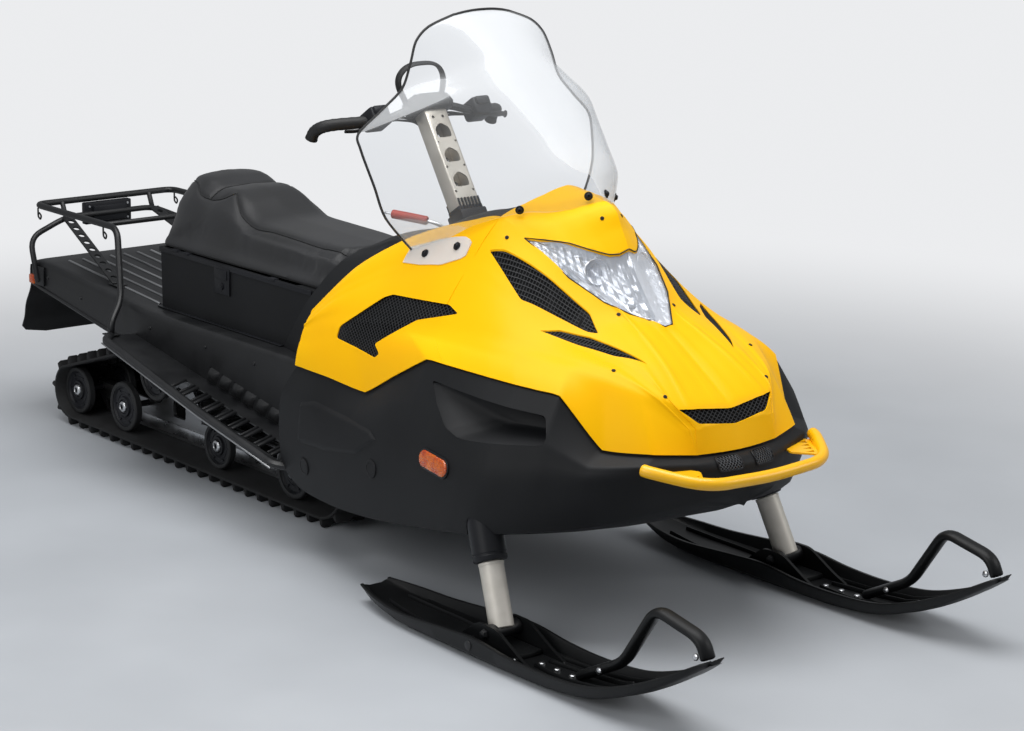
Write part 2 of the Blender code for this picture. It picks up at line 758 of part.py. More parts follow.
def running_board(side, word):
    inner = TUNNEL_HALF_WIDTH + GAP
    outline = [
        (BOARD_FRONT_X + 0.11, inner),
        (BOARD_REAR_X, inner),
        (BOARD_REAR_X - 0.02, TUNNEL_HALF_WIDTH + 0.094),
        (BOARD_REAR_X + 0.02, TUNNEL_HALF_WIDTH + 0.114),
        (-0.40, TUNNEL_HALF_WIDTH + 0.156),
        (BOARD_FRONT_X - 0.05, TUNNEL_HALF_WIDTH + 0.166),
        (BOARD_FRONT_X - 0.02, TUNNEL_HALF_WIDTH + 0.126),
        (BOARD_FRONT_X + 0.11, TUNNEL_HALF_WIDTH + 0.122),
    ]
    bm = bmesh.new()
    rings = []
    for drop in (0.0, BOARD_THICK):
        rings.append([bm.verts.new((x, side * y, board_height(x) - drop)) for x, y in outline])
    bm.faces.new(rings[0])
    bm.faces.new(rings[1])
    for i in range(len(outline)):
        j = (i + 1) % len(outline)
        bm.faces.new((rings[0][i], rings[0][j], rings[1][j], rings[1][i]))
    board = to_object("running_board_" + word, bm, "black paint")
    edge_points = []
    for x, y in outline[3:6]:
        edge_points.append((x, side * y, board_height(x) - BOARD_THICK / 2))
    rim = tube("board rim " + word, edge_points, 0.011, sides=10)
    rib_y = side * (TUNNEL_HALF_WIDTH + 0.052)
    rib_points = [(x, rib_y, board_height(x) - 0.004) for x in (BOARD_FRONT_X, BOARD_REAR_X + 0.02)]
    rib = tube("board rib " + word, rib_points, 0.009, sides=8)
    slots = []
    count = 15
    for k in range(count):
        x = -0.06 - k * 0.060
        wide = 0.016
        ends = sorted((side * (TUNNEL_HALF_WIDTH + 0.070), side * (TUNNEL_HALF_WIDTH + 0.140)))
        slots.append(
            block(
                "board slot " + word + str(k),
                (x - wide, ends[0], board_height(x) - 0.05),
                (x + wide, ends[1], board_height(x) + 0.05),
            )
        )
    cut(board, *slots)
    return fuse(board, rim, rib)


def seat_box():
    lower_front = -0.295
    upper_front = -0.150
    outline = [(-0.935, BOX_BOTTOM), (lower_front, BOX_BOTTOM), (upper_front, BOX_TOP), (-0.940, BOX_TOP)]
    body = plate("seat_box", outline, "Y", -0.210, 0.210, "black plastic")
    wall = BOX_WALL
    inside = [
        (-0.935 + wall, BOX_BOTTOM + wall),
        (lower_front - 0.06, BOX_BOTTOM + wall),
        (upper_front - 0.06, BOX_TOP + 0.05),
        (-0.940 + wall, BOX_TOP + 0.05),
    ]
    hollow = plate("seat box hollow", inside, "Y", -0.210 + wall, 0.210 - wall)
    return cut(body, hollow)


SEAT_TOP = [
    # station, half width low, half width top, height of the top, forward lean of the section
    (-0.942, 0.200, 0.090, 0.842, 0.0),
    (-0.934, 0.210, 0.098, 0.858, 0.0),
    (-0.900, 0.212, 0.104, 0.868, 0.0),
    (-0.840, 0.212, 0.106, 0.864, 0.0),
    (-0.800, 0.212, 0.106, 0.850, 0.0),
    (-0.775, 0.212, 0.106, 0.842, 0.0),
    (-0.735, 0.212, 0.108, 0.845, 0.0),
    (-0.690, 0.212, 0.108, 0.842, 0.0),
    (-0.645, 0.212, 0.114, 0.824, 0.0),
    (-0.600, 0.211, 0.124, 0.795, 0.0),
    (-0.545, 0.210, 0.134, 0.774, 0.0),
    (-0.430, 0.208, 0.137, 0.769, 0.0),
    (-0.300, 0.204, 0.136, 0.766, 0.0),
    (-0.180, 0.202, 0.132, 0.764, 0.40),
    (-0.070, 0.200, 0.128, 0.766, 0.79),
]


def seat_section(x, low, top, height, lean):
    knee = SEAT_BASE + (height - SEAT_BASE) * 0.55
    half = [
        (low - 0.008, SEAT_BASE),
        (low, SEAT_BASE + 0.010),
        (low * 0.72 + top * 0.28, knee - 0.030),
        (low * 0.45 + top * 0.55 + 0.008, knee + 0.022),
        (top + 0.024, height - 0.034),
        (top + 0.004, height - 0.014),
        (top * 0.55, height - 0.002),
    ]
    right = [(x - lean * (height - z), -y, z) for y, z in half]
    left = [(x - lean * (height - z), y, z) for y, z in reversed(half)]
    return right + [(x, 0.0, height + 0.001)] + left


def seat():
    return loft("seat", [seat_section(*row) for row in SEAT_TOP], "seat vinyl")


CONSOLE_LEAN = 0.79
CONSOLE = [
    # station, lean, half width and height of the foot, belt, shoulder and top
    (-0.0425, CONSOLE_LEAN, 0.214, 0.4705, 0.222, 0.633, 0.170, 0.760, 0.092, 0.790),
    (0.066, 0.0, 0.272, 0.4705, 0.290, 0.640, 0.192, 0.785, 0.112, 0.832),
    (0.120, 0.0, 0.272, 0.4705, 0.290, 0.690, 0.188, 0.812, 0.116, 0.846),
    (0.200, 0.0, 0.265, 0.4705, 0.250, 0.775, 0.186, 0.826, 0.116, 0.848),
    (0.300, 0.0, 0.240, 0.4705, 0.212, 0.842, 0.176, 0.868, 0.120, 0.892),
    (0.320, 0.0, 0.240, 0.6200, 0.205, 0.850, 0.170, 0.876, 0.120, 0.900),
    (0.420, 0.0, 0.220, 0.6200, 0.182, 0.890, 0.152, 0.917, 0.115, 0.945),
    (0.600, 0.0, 0.180, 0.6600, 0.155, 0.935, 0.132, 0.957, 0.098, 0.970),
]
SHAFT_RADIUS = 0.014


def console_section(x, lean, *outline):
    half = list(zip(outline[0::2], outline[1::2]))
    half.append((outline[-2] - 0.018, outline[-1] - 0.001))
    top = outline[-1]
    right = [(x - lean * (top - z), -y, z) for y, z in half]
    left = [(x - lean * (top - z), y, z) for y, z in reversed(half)]
    return right + left


def console():
    body = loft("console", [console_section(*row) for row in CONSOLE], "black plastic")
    up, side, ahead = column_frame()
    bore = rod(
        "column bore",
        COLUMN_BASE + up * 0.02,
        COLUMN_BASE - up * 0.125,
        SHAFT_RADIUS + GAP,
        segments=28,
    )
    return cut(body, bore)


def patch_side():
    return [[Vector(row[k]) for k in range(4)] for row in BODY_ROWS]


def patch_top():
    made = []
    for middle, row in zip(TOP_MIDDLE, BODY_ROWS[TOP_FIRST_ROW:]):
        edge = Vector(row[0])
        centre = Vector(middle)
        made.append([centre, (centre + edge) / 2 + Vector((0.0, 0.0, CROWN)), edge])
    return made


def on_patch(patch, u, v):
    """Point and outward direction at row u and column v of a grid of points."""
    i = min(int(u), len(patch) - 2)
    j = min(int(v), len(patch[0]) - 2)
    s = u - i
    t = v - j
    a, b = patch[i][j], patch[i][j + 1]
    c, d = patch[i + 1][j], patch[i + 1][j + 1]
    point = (a * (1 - t) + b * t) * (1 - s) + (c * (1 - t) + d * t) * s
    along = (c * (1 - t) + d * t) - (a * (1 - t) + b * t)
    across = (b * (1 - s) + d * s) - (a * (1 - s) + c * s)
    outward = across.cross(along).normalized()
    if outward.dot(Vector((0.4, 1.0, 1.0))) < 0:
        outward = -outward
    return point, outward


def skin_height(x, y):
    """Height of the hood's outer face over a place in plan."""
    y = abs(y)
    for patch in (patch_top(), patch_side()):
        for first, second in zip(patch, patch[1:]):
            for j in range(len(first) - 1):
                corners = (first[j], first[j + 1], second[j + 1], second[j])
                for a, b, c in ((corners[0], corners[1], corners[2]), (corners[0], corners[2], corners[3])):
                    area = (b.x - a.x) * (c.y - a.y) - (c.x - a.x) * (b.y - a.y)
                    if abs(area) < 1e-9:
                        continue
                    p = ((b.x - x) * (c.y - y) - (c.x - x) * (b.y - y)) / area
                    q = ((c.x - x) * (a.y - y) - (a.x - x) * (c.y - y)) / area
                    r = 1 - p - q
                    if min(p, q, r) >= -1e-6:
                        return p * a.z + q * b.z + r * c.z
    return None


def windshield():
    top = patch_top()
    side = patch_side()
    base = []
    for u, v, lift in ((0.83, 0.0, 0.0012), (0.78, 0.55, 0.0012), (0.62, 1.10, 0.003), (0.30, 1.65, 0.013)):
        point, outward = on_patch(top, u, v)
        base.append(tuple(point + outward * lift))
    for u, v, lift in ((4.60, 0.22, 0.019), (3.70, 0.42, 0.005), (2.75, 0.52, 0.0012)):
        point, outward = on_patch(side, u, v)
        base.append(tuple(point + outward * lift))
    base[0] = (base[0][0], 0.0, base[0][2])
    rows = [base]
    table = [
        # centre x, centre z, edge x, edge y, edge z
        (0.745, 1.092, 0.340, 0.335, 0.945),
        (0.655, 1.168, 0.335, 0.368, 1.030),
        (0.560, 1.248, 0.305, 0.388, 1.120),
        (0.520, 1.282, 0.290, 0.385, 1.160),
        (0.480, 1.318, 0.300, 0.320, 1.215),
        (0.435, 1.356, 0.310, 0.262, 1.268),
        (0.390, 1.392, 0.310, 0.236, 1.330),
        (0.350, 1.424, 0.302, 0.212, 1.385),
        (0.322, 1.446, 0.300, 0.170, 1.420),
        (0.310, 1.457, 0.303, 0.090, 1.447),
    ]
    for xc, zc, xe, ye, ze in table:
        row = []
        for k in range(7):
            s = k / 6
            bend = s**2.2
            row.append((xc + (xe - xc) * bend, ye * s, zc + (ze - zc) * bend))
        rows.append(row)
    return sheet("windshield", [rows], 0.004, "clear plastic", offset=1.0, toward=(1.0, 0.0, 1.0))


def column_frame():
    up = (COLUMN_TOP - COLUMN_BASE).normalized()
    side = Vector((0.0, 1.0, 0.0))
    ahead = side.cross(up).normalized()
    return up, side, ahead


def steering_column():
    up, side, ahead = column_frame()
    half_wide = 0.038
    half_deep = 0.026
    sections = []
    for distance in (0.0, (COLUMN_TOP - COLUMN_BASE).length):
        centre = COLUMN_BASE + up * distance
        ring = []
        for a, b in ((-1, -1), (1, -1), (1, 1), (-1, 1)):
            ring.append(centre + side * (a * half_wide) + ahead * (b * half_deep))
        sections.append(ring)
    post = loft("steering_column", sections, "champagne aluminium")
    cutters = []
    length = (COLUMN_TOP - COLUMN_BASE).length
    for k in range(3):
        centre = COLUMN_BASE + up * (0.085 + k * 0.072)
        ring_low = []
        ring_high = []
        shape = [
            (-0.020, -0.024), (0.004, -0.024), (0.018, -0.014), (0.023, 0.0),
            (0.018, 0.014), (0.004, 0.024), (-0.020, 0.024),
        ]
        for a, b in shape:
            ring_low.append(centre + side * a + up * b - ahead * 0.05)
            ring_high.append(centre + side * a + up * b + ahead * 0.05)
        cutters.append(loft("column window " + str(k), [ring_low, ring_high]))
    cut(post, *cutters)
    inner = []
    for distance in (0.004, length - 0.004):
        centre = COLUMN_BASE + up * distance
        ring = []
        for a, b in ((-1, -1), (1, -1), (1, 1), (-1, 1)):
            ring.append(centre + side * (a * (half_wide - 0.004)) + ahead * (b * (half_deep - 0.004)))
        inner.append(ring)
    hollow = loft("column hollow", inner)
    return cut(post, hollow)


def oriented_block(name, centre, half, axes, finish=None):
    sections = []
    a, b, c = axes
    for level in (-half[2], half[2]):
        ring = []
        for i, j in ((-1, -1), (1, -1), (1, 1), (-1, 1)):
            ring.append(Vector(centre) + a * (i * half[0]) + b * (j * half[1]) + c * level)
        sections.append(ring)
    return loft(name, sections, finish)


def steering_parts():
    up, side, ahead = column_frame()
    column = steering_column()
    foot_centre = COLUMN_BASE - up * 0.0155
    foot = oriented_block("column_foot", foot_centre, (0.044, 0.034, 0.015), (side, ahead, up), "black plastic")
    bevel(foot, 0.006)
    shaft = rod("column shaft", foot_centre, foot_centre - up * 0.095, SHAFT_RADIUS, segments=28)
    fuse(foot, shaft)
    head_centre = COLUMN_TOP + up * 0.0165
    head = oriented_block("bar_clamp", head_centre, (0.070, 0.040, 0.016), (side, ahead, up), "black plastic")
    bevel(head, 0.008)
    bar_centre = COLUMN_TOP + up * 0.0215
    path = [
        (-0.030, -0.306, 1.098),
        (-0.014, -0.302, 1.124),
        (0.022, -0.282, 1.141),
        (0.067, -0.200, 1.149),
        (0.088, -0.140, 1.156),
        (0.090, -0.070, 1.174),
        (bar_centre.x, 0.0, bar_centre.z),
    ]
    right = spline(path, 4)
    left = [Vector((p.x, -p.y, p.z)) for p in reversed(right[:-1])]
    bar = tube("bar tube", right + left, 0.011, sides=12)
    grips = []
    for sign, word in ((-1, "right"), (1, "left")):
        points = side_points([(p.x, -p.y, p.z) for p in right[:14]], sign)
        grips.append(tube("grip " + word, points, 0.0165, sides=14))
    fuse(head, bar, *grips)
    head.name = "handlebar"
    pods = []
    for sign, word in ((-1, "right"), (1, "left")):
        centre = Vector((0.078, sign * 0.172, 1.156))
        pod = oriented_block(
            "control_pod_" + word,
            centre,
            (0.032, 0.034, 0.028),
            (side, ahead, up),
            "black plastic",
        )
        bevel(pod, 0.010, 2)
        bar_path = side_points([(p.x, -p.y, p.z) for p in right], sign)
        hole = tube("pod hole " + word, bar_path[4:], 0.0118, sides=12)
        grip_hole = tube("pod grip hole " + word, bar_path[:14], 0.0173, sides=14)
        cut(pod, hole, grip_hole)
        pods.append(pod)
    hoop_path = rounded_path(
        [
            (0.062, -0.052, 1.176),
            (0.045, -0.084, 1.245),
            (0.052, -0.050, 1.290),
            (0.052, 0.050, 1.290),
            (0.045, 0.084, 1.245),
            (0.062, 0.052, 1.176),
        ],
        0.035,
        5,
    )
    hoop = tube("strap_hoop", hoop_path, 0.008, "black plastic", sides=10)
    socket = tube("strap socket", hoop_path, 0.0091, sides=10)
    cut(head, socket)
    return [column, foot, head, hoop] + pods


CHEEK_Y = 0.046


def ski(side, word):
    table = [
        # station, share of the half width, floor height, wall height, keel depth
        (0.500, 0.50, 0.0330, 0.016, 0.002),
        (0.600, 0.78, 0.0170, 0.022, 0.004),
        (0.720, 0.93, 0.0090, 0.028, 0.0080),
        (0.900, 0.98, 0.0085, 0.034, 0.0083),
        (1.100, 1.00, 0.0085, 0.036, 0.0083),
        (1.280, 0.98, 0.0105, 0.036, 0.0103),
        (1.420, 0.95, 0.0270, 0.032, 0.010),
        (1.540, 0.84, 0.0680, 0.026, 0.006),
        (1.640, 0.66, 0.1200, 0.020, 0.004),
        (1.722, 0.42, 0.1720, 0.014, 0.002),
        (1.745, 0.24, 0.1880, 0.012, 0.001),
    ]
    sections = []
    for x, share, floor, wall, keel in table:
        half = share * SKI_HALF_WIDTH
        top = floor + wall
        thick = 0.008
        profile = [
            (half, top),
            (half - 0.008, floor),
            (0.022, floor),
            (0.012, floor - keel),
            (-0.012, floor - keel),
            (-0.022, floor),
            (-half + 0.008, floor),
            (-half, top),
            (-half + 0.008, top),
            (-half + 0.015, floor + thick),
            (half - 0.015, floor + thick),
            (half - 0.008, top),
        ]
        sections.append([(x, side * SKI_Y + y, z) for y, z in profile])
    body = loft("ski_" + word, sections, "black plastic")
    bolt = SKI_BOLT
    cheeks = []
    for inner, tag in ((1, "a"), (-1, "b")):
        outline = [
            (0.890, 0.012), (1.190, 0.012), (1.140, 0.034),
            (1.046, 0.082), (0.984, 0.082), (0.930, 0.040),
        ]
        low = side * SKI_Y + inner * CHEEK_Y
        high = side * SKI_Y + inner * (CHEEK_Y + 0.009)
        cheeks.append(plate("cheek " + word + tag, outline, "Y", min(low, high), max(low, high)))
    pin = rod(
        "ski pin " + word,
        (bolt.x, side * SKI_Y - CHEEK_Y - 0.014, bolt.z),
        (bolt.x, side * SKI_Y + CHEEK_Y + 0.014, bolt.z),
        0.009,
        segments=24,
    )
    fuse(body, *cheeks, pin)
    handle_path = rounded_path(
        [
            (1.320, side * SKI_Y, 0.026),
            (1.435, side * SKI_Y, 0.106),
            (1.548, side * SKI_Y, 0.262),
            (1.655, side * SKI_Y, 0.256),
            (1.716, side * SKI_Y, 0.180),
        ],
        0.040,
        4,
    )
    handle = tube("ski handle " + word, handle_path, 0.012, sides=10, scale=(1.5, 1.0))
    return fuse(body, handle)


def ski_leg(side, word):
    low = Vector((STRUT_LOW.x, side * STRUT_LOW.y, STRUT_LOW.z))
    axis = Vector((STRUT_UP.x, side * STRUT_UP.y, STRUT_UP.z))
    top = low + axis * (SLEEVE_START - 0.0022)
    leg = rod("ski_leg_" + word, low - axis * 0.026, top, LEG_RADIUS, "champagne aluminium", segments=32)
    boss = rod(
        "leg boss " + word,
        (SKI_BOLT.x, side * SKI_Y - CHEEK_Y + 0.0012, SKI_BOLT.z),
        (SKI_BOLT.x, side * SKI_Y + CHEEK_Y - 0.0012, SKI_BOLT.z),
        0.020,
        segments=28,
    )
    stem = rod("leg stem " + word, top - axis * 0.02, low + axis * 0.290, STEM_RADIUS, segments=28)
    fuse(leg, boss, stem)
    hole = rod(
        "leg pin hole " + word,
        (SKI_BOLT.x, side * SKI_Y - CHEEK_Y - 0.004, SKI_BOLT.z),
        (SKI_BOLT.x, side * SKI_Y + CHEEK_Y + 0.004, SKI_BOLT.z),
        0.0095,
        segments=24,
    )
    return cut(leg, hole)


def strut_sleeve(side, word):
    low = Vector((STRUT_LOW.x, side * STRUT_LOW.y, STRUT_LOW.z))
    axis = Vector((STRUT_UP.x, side * STRUT_UP.y, STRUT_UP.z))
    start = low + axis * SLEEVE_START
    end = low + axis * 0.340
    sleeve = rod("strut_sleeve_" + word, start, end, SLEEVE_RADIUS, "black plastic", segments=32)
    bore_end = low + axis * 0.296
    bore = rod("sleeve bore " + word, start - axis * 0.01, bore_end, STEM_RADIUS + 0.0005, segments=28)
    return cut(sleeve, bore)


def cargo_rack():
    top = 0.685
    foot_y = TUNNEL_HALF_WIDTH + 0.072
    hoop_y = TUNNEL_HALF_WIDTH + 0.0096
    rear = TUNNEL_REAR - 0.010
    frame = rounded_path(
        [
            (-1.000, -foot_y, 0.3934),
            (-1.000, -foot_y, 0.430),
            (-1.036, -hoop_y - 0.0049, 0.484),
            (-1.118, -0.252, top),
            (rear, -0.252, top),
            (rear, 0.252, top),
            (-1.118, 0.252, top),
            (-1.036, hoop_y + 0.0049, 0.484),
            (-1.000, foot_y, 0.430),
            (-1.000, foot_y, 0.3934),
        ],
        0.030,
        2,
    )
    rack = tube("cargo_rack", frame, 0.010, "black paint", sides=8)
    hoop_path = rounded_path(
        [
            (rear + 0.065, -hoop_y, 0.450),
            (rear + 0.022, -hoop_y, 0.585),
            (rear + 0.030, -0.160, 0.640),
            (rear + 0.030, 0.160, 0.640),
            (rear + 0.022, hoop_y, 0.585),
            (rear + 0.065, hoop_y, 0.450),
        ],
        0.035,
        3,
    )
    hoop = tube("rack hoop", hoop_path, 0.009, sides=8)
    cross = tube("rack front cross", [(-1.190, -0.252, top), (-1.190, 0.252, top)], 0.008, sides=10)
    pieces = [hoop, cross]
    for side, word in ((1, "left"), (-1, "right")):
        pieces.append(
            tube(
                "rack riser " + word,
                [(rear + 0.025, side * 0.160, 0.640), (rear + 0.005, side * 0.160, top)],
                0.008,
                sides=10,
            )
        )
        foot = Vector((-1.190, side * 0.210, DECK_Z + 0.030))
        head = Vector((rear + 0.035, side * 0.160, 0.640))
        along = (head - foot).normalized()
        across = Vector((0.0, 1.0, 0.0))
        across = (across - along * across.dot(along)).normalized()
        normal = along.cross(across)
        brace = oriented_block(
            "rack brace " + word,
            (foot + head) / 2,
            (0.018, 0.003, (head - foot).length / 2),
            (across, normal, along),
        )
        holes = []
        for k in range(5):
            centre = foot + (head - foot) * (0.16 + 0.16 * k)
            holes.append(
                rod(f"brace hole {word}{k}", centre - normal * 0.01, centre + normal * 0.01, 0.010, segments=8)
            )
        cut(brace, *holes)
        pieces.append(brace)
        pad_low = DECK_Z + 0.0232
        pieces.append(
            block(
                "brace pad " + word,
                (-1.215, side * 0.210 - 0.020, pad_low),
                (-1.165, side * 0.210 + 0.020, pad_low + 0.010),
            )
        )
    return fuse(rack, *pieces)


BUMPER_RADIUS = 0.0125
BUMPER_WEB = [(1.283, 0.274), (1.396, 0.197), (1.332, 0.150), (1.238, 0.192), (1.250, 0.246)]
BUMPER_WEB_Z = 0.4700


def bumper_web(name, side, grow, half_thick=0.0028):
    middle = Vector((sum(x for x, y in BUMPER_WEB), sum(y for x, y in BUMPER_WEB))) / len(BUMPER_WEB)
    outline = []
    for x, y in BUMPER_WEB:
        away = (Vector((x, y)) - middle).normalized() * grow * 2
        outline.append((x + away.x, side * (y + away.y)))
    return plate(name, outline, "Z", BUMPER_WEB_Z - half_thick - grow, BUMPER_WEB_Z + half_thick + grow)


def front_bumper():
    half = [
        (1.272, -0.284, 0.486),
        (1.300, -0.274, 0.482),
        (1.408, -0.196, 0.462),
    ]
    path = half + [(1.422, 0.0, 0.458)] + [(x, -y, z) for x, y, z in reversed(half)]
    bar = tube("front_bumper", rounded_path(path, 0.045, 4), BUMPER_RADIUS, "yellow paint", sides=12)
    webs = []
    for side, word in ((1, "left"), (-1, "right")):
        web = bumper_web("bumper web " + word, side, 0.0)
        holes = []
        for k in range(3):
            x = 1.296 + 0.026 * k
            y = 0.236 - 0.016 * k
            wide = 0.009 - 0.001 * k
            outline = [
                (x - wide, side * (y + 0.010)), (x + wide, side * (y + 0.002)),
                (x - wide, side * (y - 0.014)),
            ]
            holes.append(plate("web hole " + word + str(k), outline, "Z", 0.45, 0.49))
        cut(web, *holes)
        webs.append(web)
    return fuse(bar, *webs)


def snow_flap():
    wide = TUNNEL_HALF_WIDTH - 0.0005
    table = [
        # height, half width
        (0.496, wide),
        (0.430, wide),
        (0.275, wide - 0.0115),
        (0.246, wide - 0.1275),
    ]
    sections = []
    for z, half in table:
        lean = max(0.0, 0.430 - z) * 0.62
        front = TUNNEL_REAR - 0.0005 - lean
        back = front - 0.006
        sections.append([(front, -half, z), (front, half, z), (back, half, z), (back, -half, z)])
    return loft("snow_flap", sections, "track rubber")


def drive_axle():
    x, z = SPROCKET["x"], SPROCKET["z"]
    reach = TUNNEL_HALF_WIDTH - TUNNEL_SHEET - 0.0006
    axle = rod("drive_axle", (x, -reach, z), (x, reach, z), 0.016, "dark steel", segments=24)
    wheels = []
    for y in (-0.12, 0.12):
        wheels.append(
            rod("sprocket" + str(y), (x, y - 0.022, z), (x, y + 0.022, z), SPROCKET["r"] - 0.002, segments=32)
        )
    return fuse(axle, *wheels)


LAMP_OUTLINE = [
    (0.705, 0.0), (0.700, 0.090), (0.716, 0.150), (0.800, 0.146),
    (0.905, 0.108), (0.985, 0.070), (1.022, 0.0),
]


def lamp_ring(scale, drop):
    middle_x = 0.850
    ring = []
    half = [(middle_x + (x - middle_x) * scale, y * scale) for x, y in LAMP_OUTLINE]
    full = half + [(x, -y) for x, y in reversed(half[1:-1])]
    for x, y in full:
        height = skin_height(x, y)
        ring.append((x, y, height - drop))
    return ring


def small_pieces():
    for side, word in ((1, "left"), (-1, "right")):
        marker_block("side_marker_" + word, side, 0.0, "amber plastic")
        low = side * (TUNNEL_HALF_WIDTH + GAP)
        high = side * (TUNNEL_HALF_WIDTH + 0.014)
        block(
            "rear_marker_" + word,
            (TUNNEL_REAR + 0.002, min(low, high), 0.440),
            (TUNNEL_REAR + 0.034, max(low, high), 0.470),
            "amber plastic",
        )
    lamp_rear = TUNNEL_REAR - 0.0145
    block("tail_light", (lamp_rear, -0.085, 0.604), (lamp_rear + 0.025, 0.085, 0.6740), "black plastic")
    lens_front = lamp_rear - 0.0005
    block("tail_lens", (lens_front - 0.0085, -0.078, 0.610), (lens_front, 0.078, 0.668), "red plastic")
    block("seat_latch", (-0.632, -0.224, 0.575), (-0.580, -0.2104, 0.640), "black plastic")
    hitch_front = TUNNEL_REAR - 0.0070
    block("hitch", (hitch_front - 0.048, -0.040, 0.432), (hitch_front, 0.040, 0.490), "dark steel")
    lever = tube(
        "shift_lever",
        rounded_path([(0.290, -0.100, 0.8880), (0.286, -0.118, 0.910), (0.160, -0.190, 0.925)], 0.015, 3),
        0.008,
        "red enamel",
        sides=10,
    )
    console_object = bpy.data.objects["console"]
    cut(lever, console_object)


def headlight():
    surface = [[tuple(point) for point in row] for row in patch_top()]
    lens = sheet("headlight_lens", [surface], 0.004, "clear plastic")
    shape = [(0.850 + (x - 0.850) * 0.9965, y * 0.9965) for x, y in LAMP_OUTLINE]
    shape += [(x, -y) for x, y in reversed(shape[1:-1])]
    combine(lens, [plate("lens outline", shape, "Z", 0.60, 0.93 - GAP)], "INTERSECT")
    top = [(x, y, min(z, 0.905)) for x, y, z in lamp_ring(0.93, 0.016)]
    low = [(x - 0.02, y, z - 0.085) for x, y, z in top]
    bowl = loft("headlight_bowl", [top, low], "bare aluminium")
    stay = rod("bowl stay", (0.84, 0.0, 0.6004), (0.84, 0.0, 0.84), 0.012, segments=16)
    fuse(bowl, stay)


LINER_INSET = 0.0061


def vent_liners():
    patch = patch_side()
    for side, word in ((1, "left"), (-1, "right")):
        rows = []
        for k in range(11):
            u = 1.0 + k
            row = []
            for v in (0.10, 1.0, 1.95):
                point, outward = on_patch(patch, u, v)
                inner = point - outward * LINER_INSET
                row.append((inner.x, side * inner.y, inner.z))
            rows.append(row)
        sheet("vent_liner_" + word, [rows], 0.003, "black plastic", mirror=False, toward=(0.0, side, 1.0))
    shift = Vector((-0.0057, 0.0, -0.0044))
    rows = [
        [tuple(Vector((1.263, 0.0, 0.602)) + shift), tuple(Vector((1.2535, 0.148, 0.611)) + shift)],
        [tuple(Vector((1.290, 0.0, 0.561)) + shift), tuple(Vector((1.286, 0.112, 0.561)) + shift)],
    ]
    sheet("front_grille", [rows], 0.003, "black plastic", toward=(1.0, 0.0, 0.5))


def build_all():
    hood()
    lower_body()
    track()
    wheel_pair("rear_idlers", REAR_IDLER)
    wheel_pair("second_idlers", SECOND_IDLER, inner=False)
    wheel_pair("third_idlers", THIRD_IDLER, inner=False)
    wheel_pair("fourth_idlers", FOURTH_IDLER, inner=False)
    wheel_pair("carrier_wheels", CARRIER, inner=False)
    drive_axle()
    for side, word in ((1, "left"), (-1, "right")):
        slide_rail(side, word)
        running_board(side, word)
        strut_sleeve(side, word)
        ski_leg(side, word)
        ski(side, word)
    suspension_arm("front_arm", (-0.420, 0.085), (-0.070, 0.300))
    suspension_arm("rear_arm", (-0.900, 0.085), (-0.560, 0.300))
    tunnel()
    seat_box()
    seat()
    console()
    windshield()
    steering_parts()
    cargo_rack()
    front_bumper()
    snow_flap()
    engine = block("engine_block", (0.3405, -0.190, 0.270), (0.900, 0.190, 0.600), "cast engine")
    fuse(engine, rod("engine foot", (0.660, 0.0, 0.2149), (0.660, 0.0, 0.30), 0.020, segments=16))
    small_pieces()
    headlight()
    vent_liners()


build_all()
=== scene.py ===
# %% [markdown]
# ## A utility snowmobile, dressed over its CAD frame
# The machine is a wide-track work sled: a moulded yellow hood, black side panels, a long rubber track under
# a steel tunnel, a padded bench seat, a cargo rack and two steered skis. The imported CAD model gives every
# size and every joint. This file lays finished surfaces over it, and each new piece rides on a CAD body,
# so that it still turns or tilts with its joint. The frame is loaded first.

# %% Load the frame
import math
import bmesh
import bpy
from mathutils import Matrix, Vector
from mathutils.bvhtree import BVHTree
from mathutils.kdtree import KDTree


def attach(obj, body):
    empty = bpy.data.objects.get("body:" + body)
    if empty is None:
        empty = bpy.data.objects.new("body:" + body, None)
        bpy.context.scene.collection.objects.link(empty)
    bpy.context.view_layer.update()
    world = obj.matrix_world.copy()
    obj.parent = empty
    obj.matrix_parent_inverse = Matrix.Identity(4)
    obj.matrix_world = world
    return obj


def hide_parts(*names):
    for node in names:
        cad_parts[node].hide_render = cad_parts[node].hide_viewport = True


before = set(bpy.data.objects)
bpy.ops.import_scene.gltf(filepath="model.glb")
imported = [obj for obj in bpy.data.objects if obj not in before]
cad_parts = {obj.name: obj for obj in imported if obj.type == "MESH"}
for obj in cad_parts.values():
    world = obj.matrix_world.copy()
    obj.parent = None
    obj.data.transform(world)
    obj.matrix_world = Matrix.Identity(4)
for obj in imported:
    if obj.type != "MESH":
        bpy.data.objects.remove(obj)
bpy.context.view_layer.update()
print("CAD nodes:", len(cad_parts))

# %% [markdown]
# ## Small tools
# Four short tools serve the whole file: a vector from its parts, a table that is written in millimetres,
# a new object in the scene, and the names of the two sides. All other lengths are in metres.

# %% Small tools
SIDES = ((1, "left"), (-1, "right"))


def vec(*parts):
    return Vector(parts)


def mm(table):
    """A table of lengths written in millimetres, turned into metres."""
    if isinstance(table, dict):
        return {name: mm(rows) for name, rows in table.items()}
    return [mm(row) for row in table] if isinstance(table, (list, tuple)) else table / 1000


def new_object(data):
    obj = bpy.data.objects.new(data.name, data)
    bpy.context.scene.collection.objects.link(obj)
    return obj


print("sides:", [word for side, word in SIDES])

# %% [markdown]
# ## Camera
# The photograph looks down at the right front corner from a standing height, through a long lens, so the
# long body is only slightly foreshortened. The camera's place and angles were fitted to corners of the
# machine whose sizes are known. A wider lens from nearer by would make the near ski far too large.

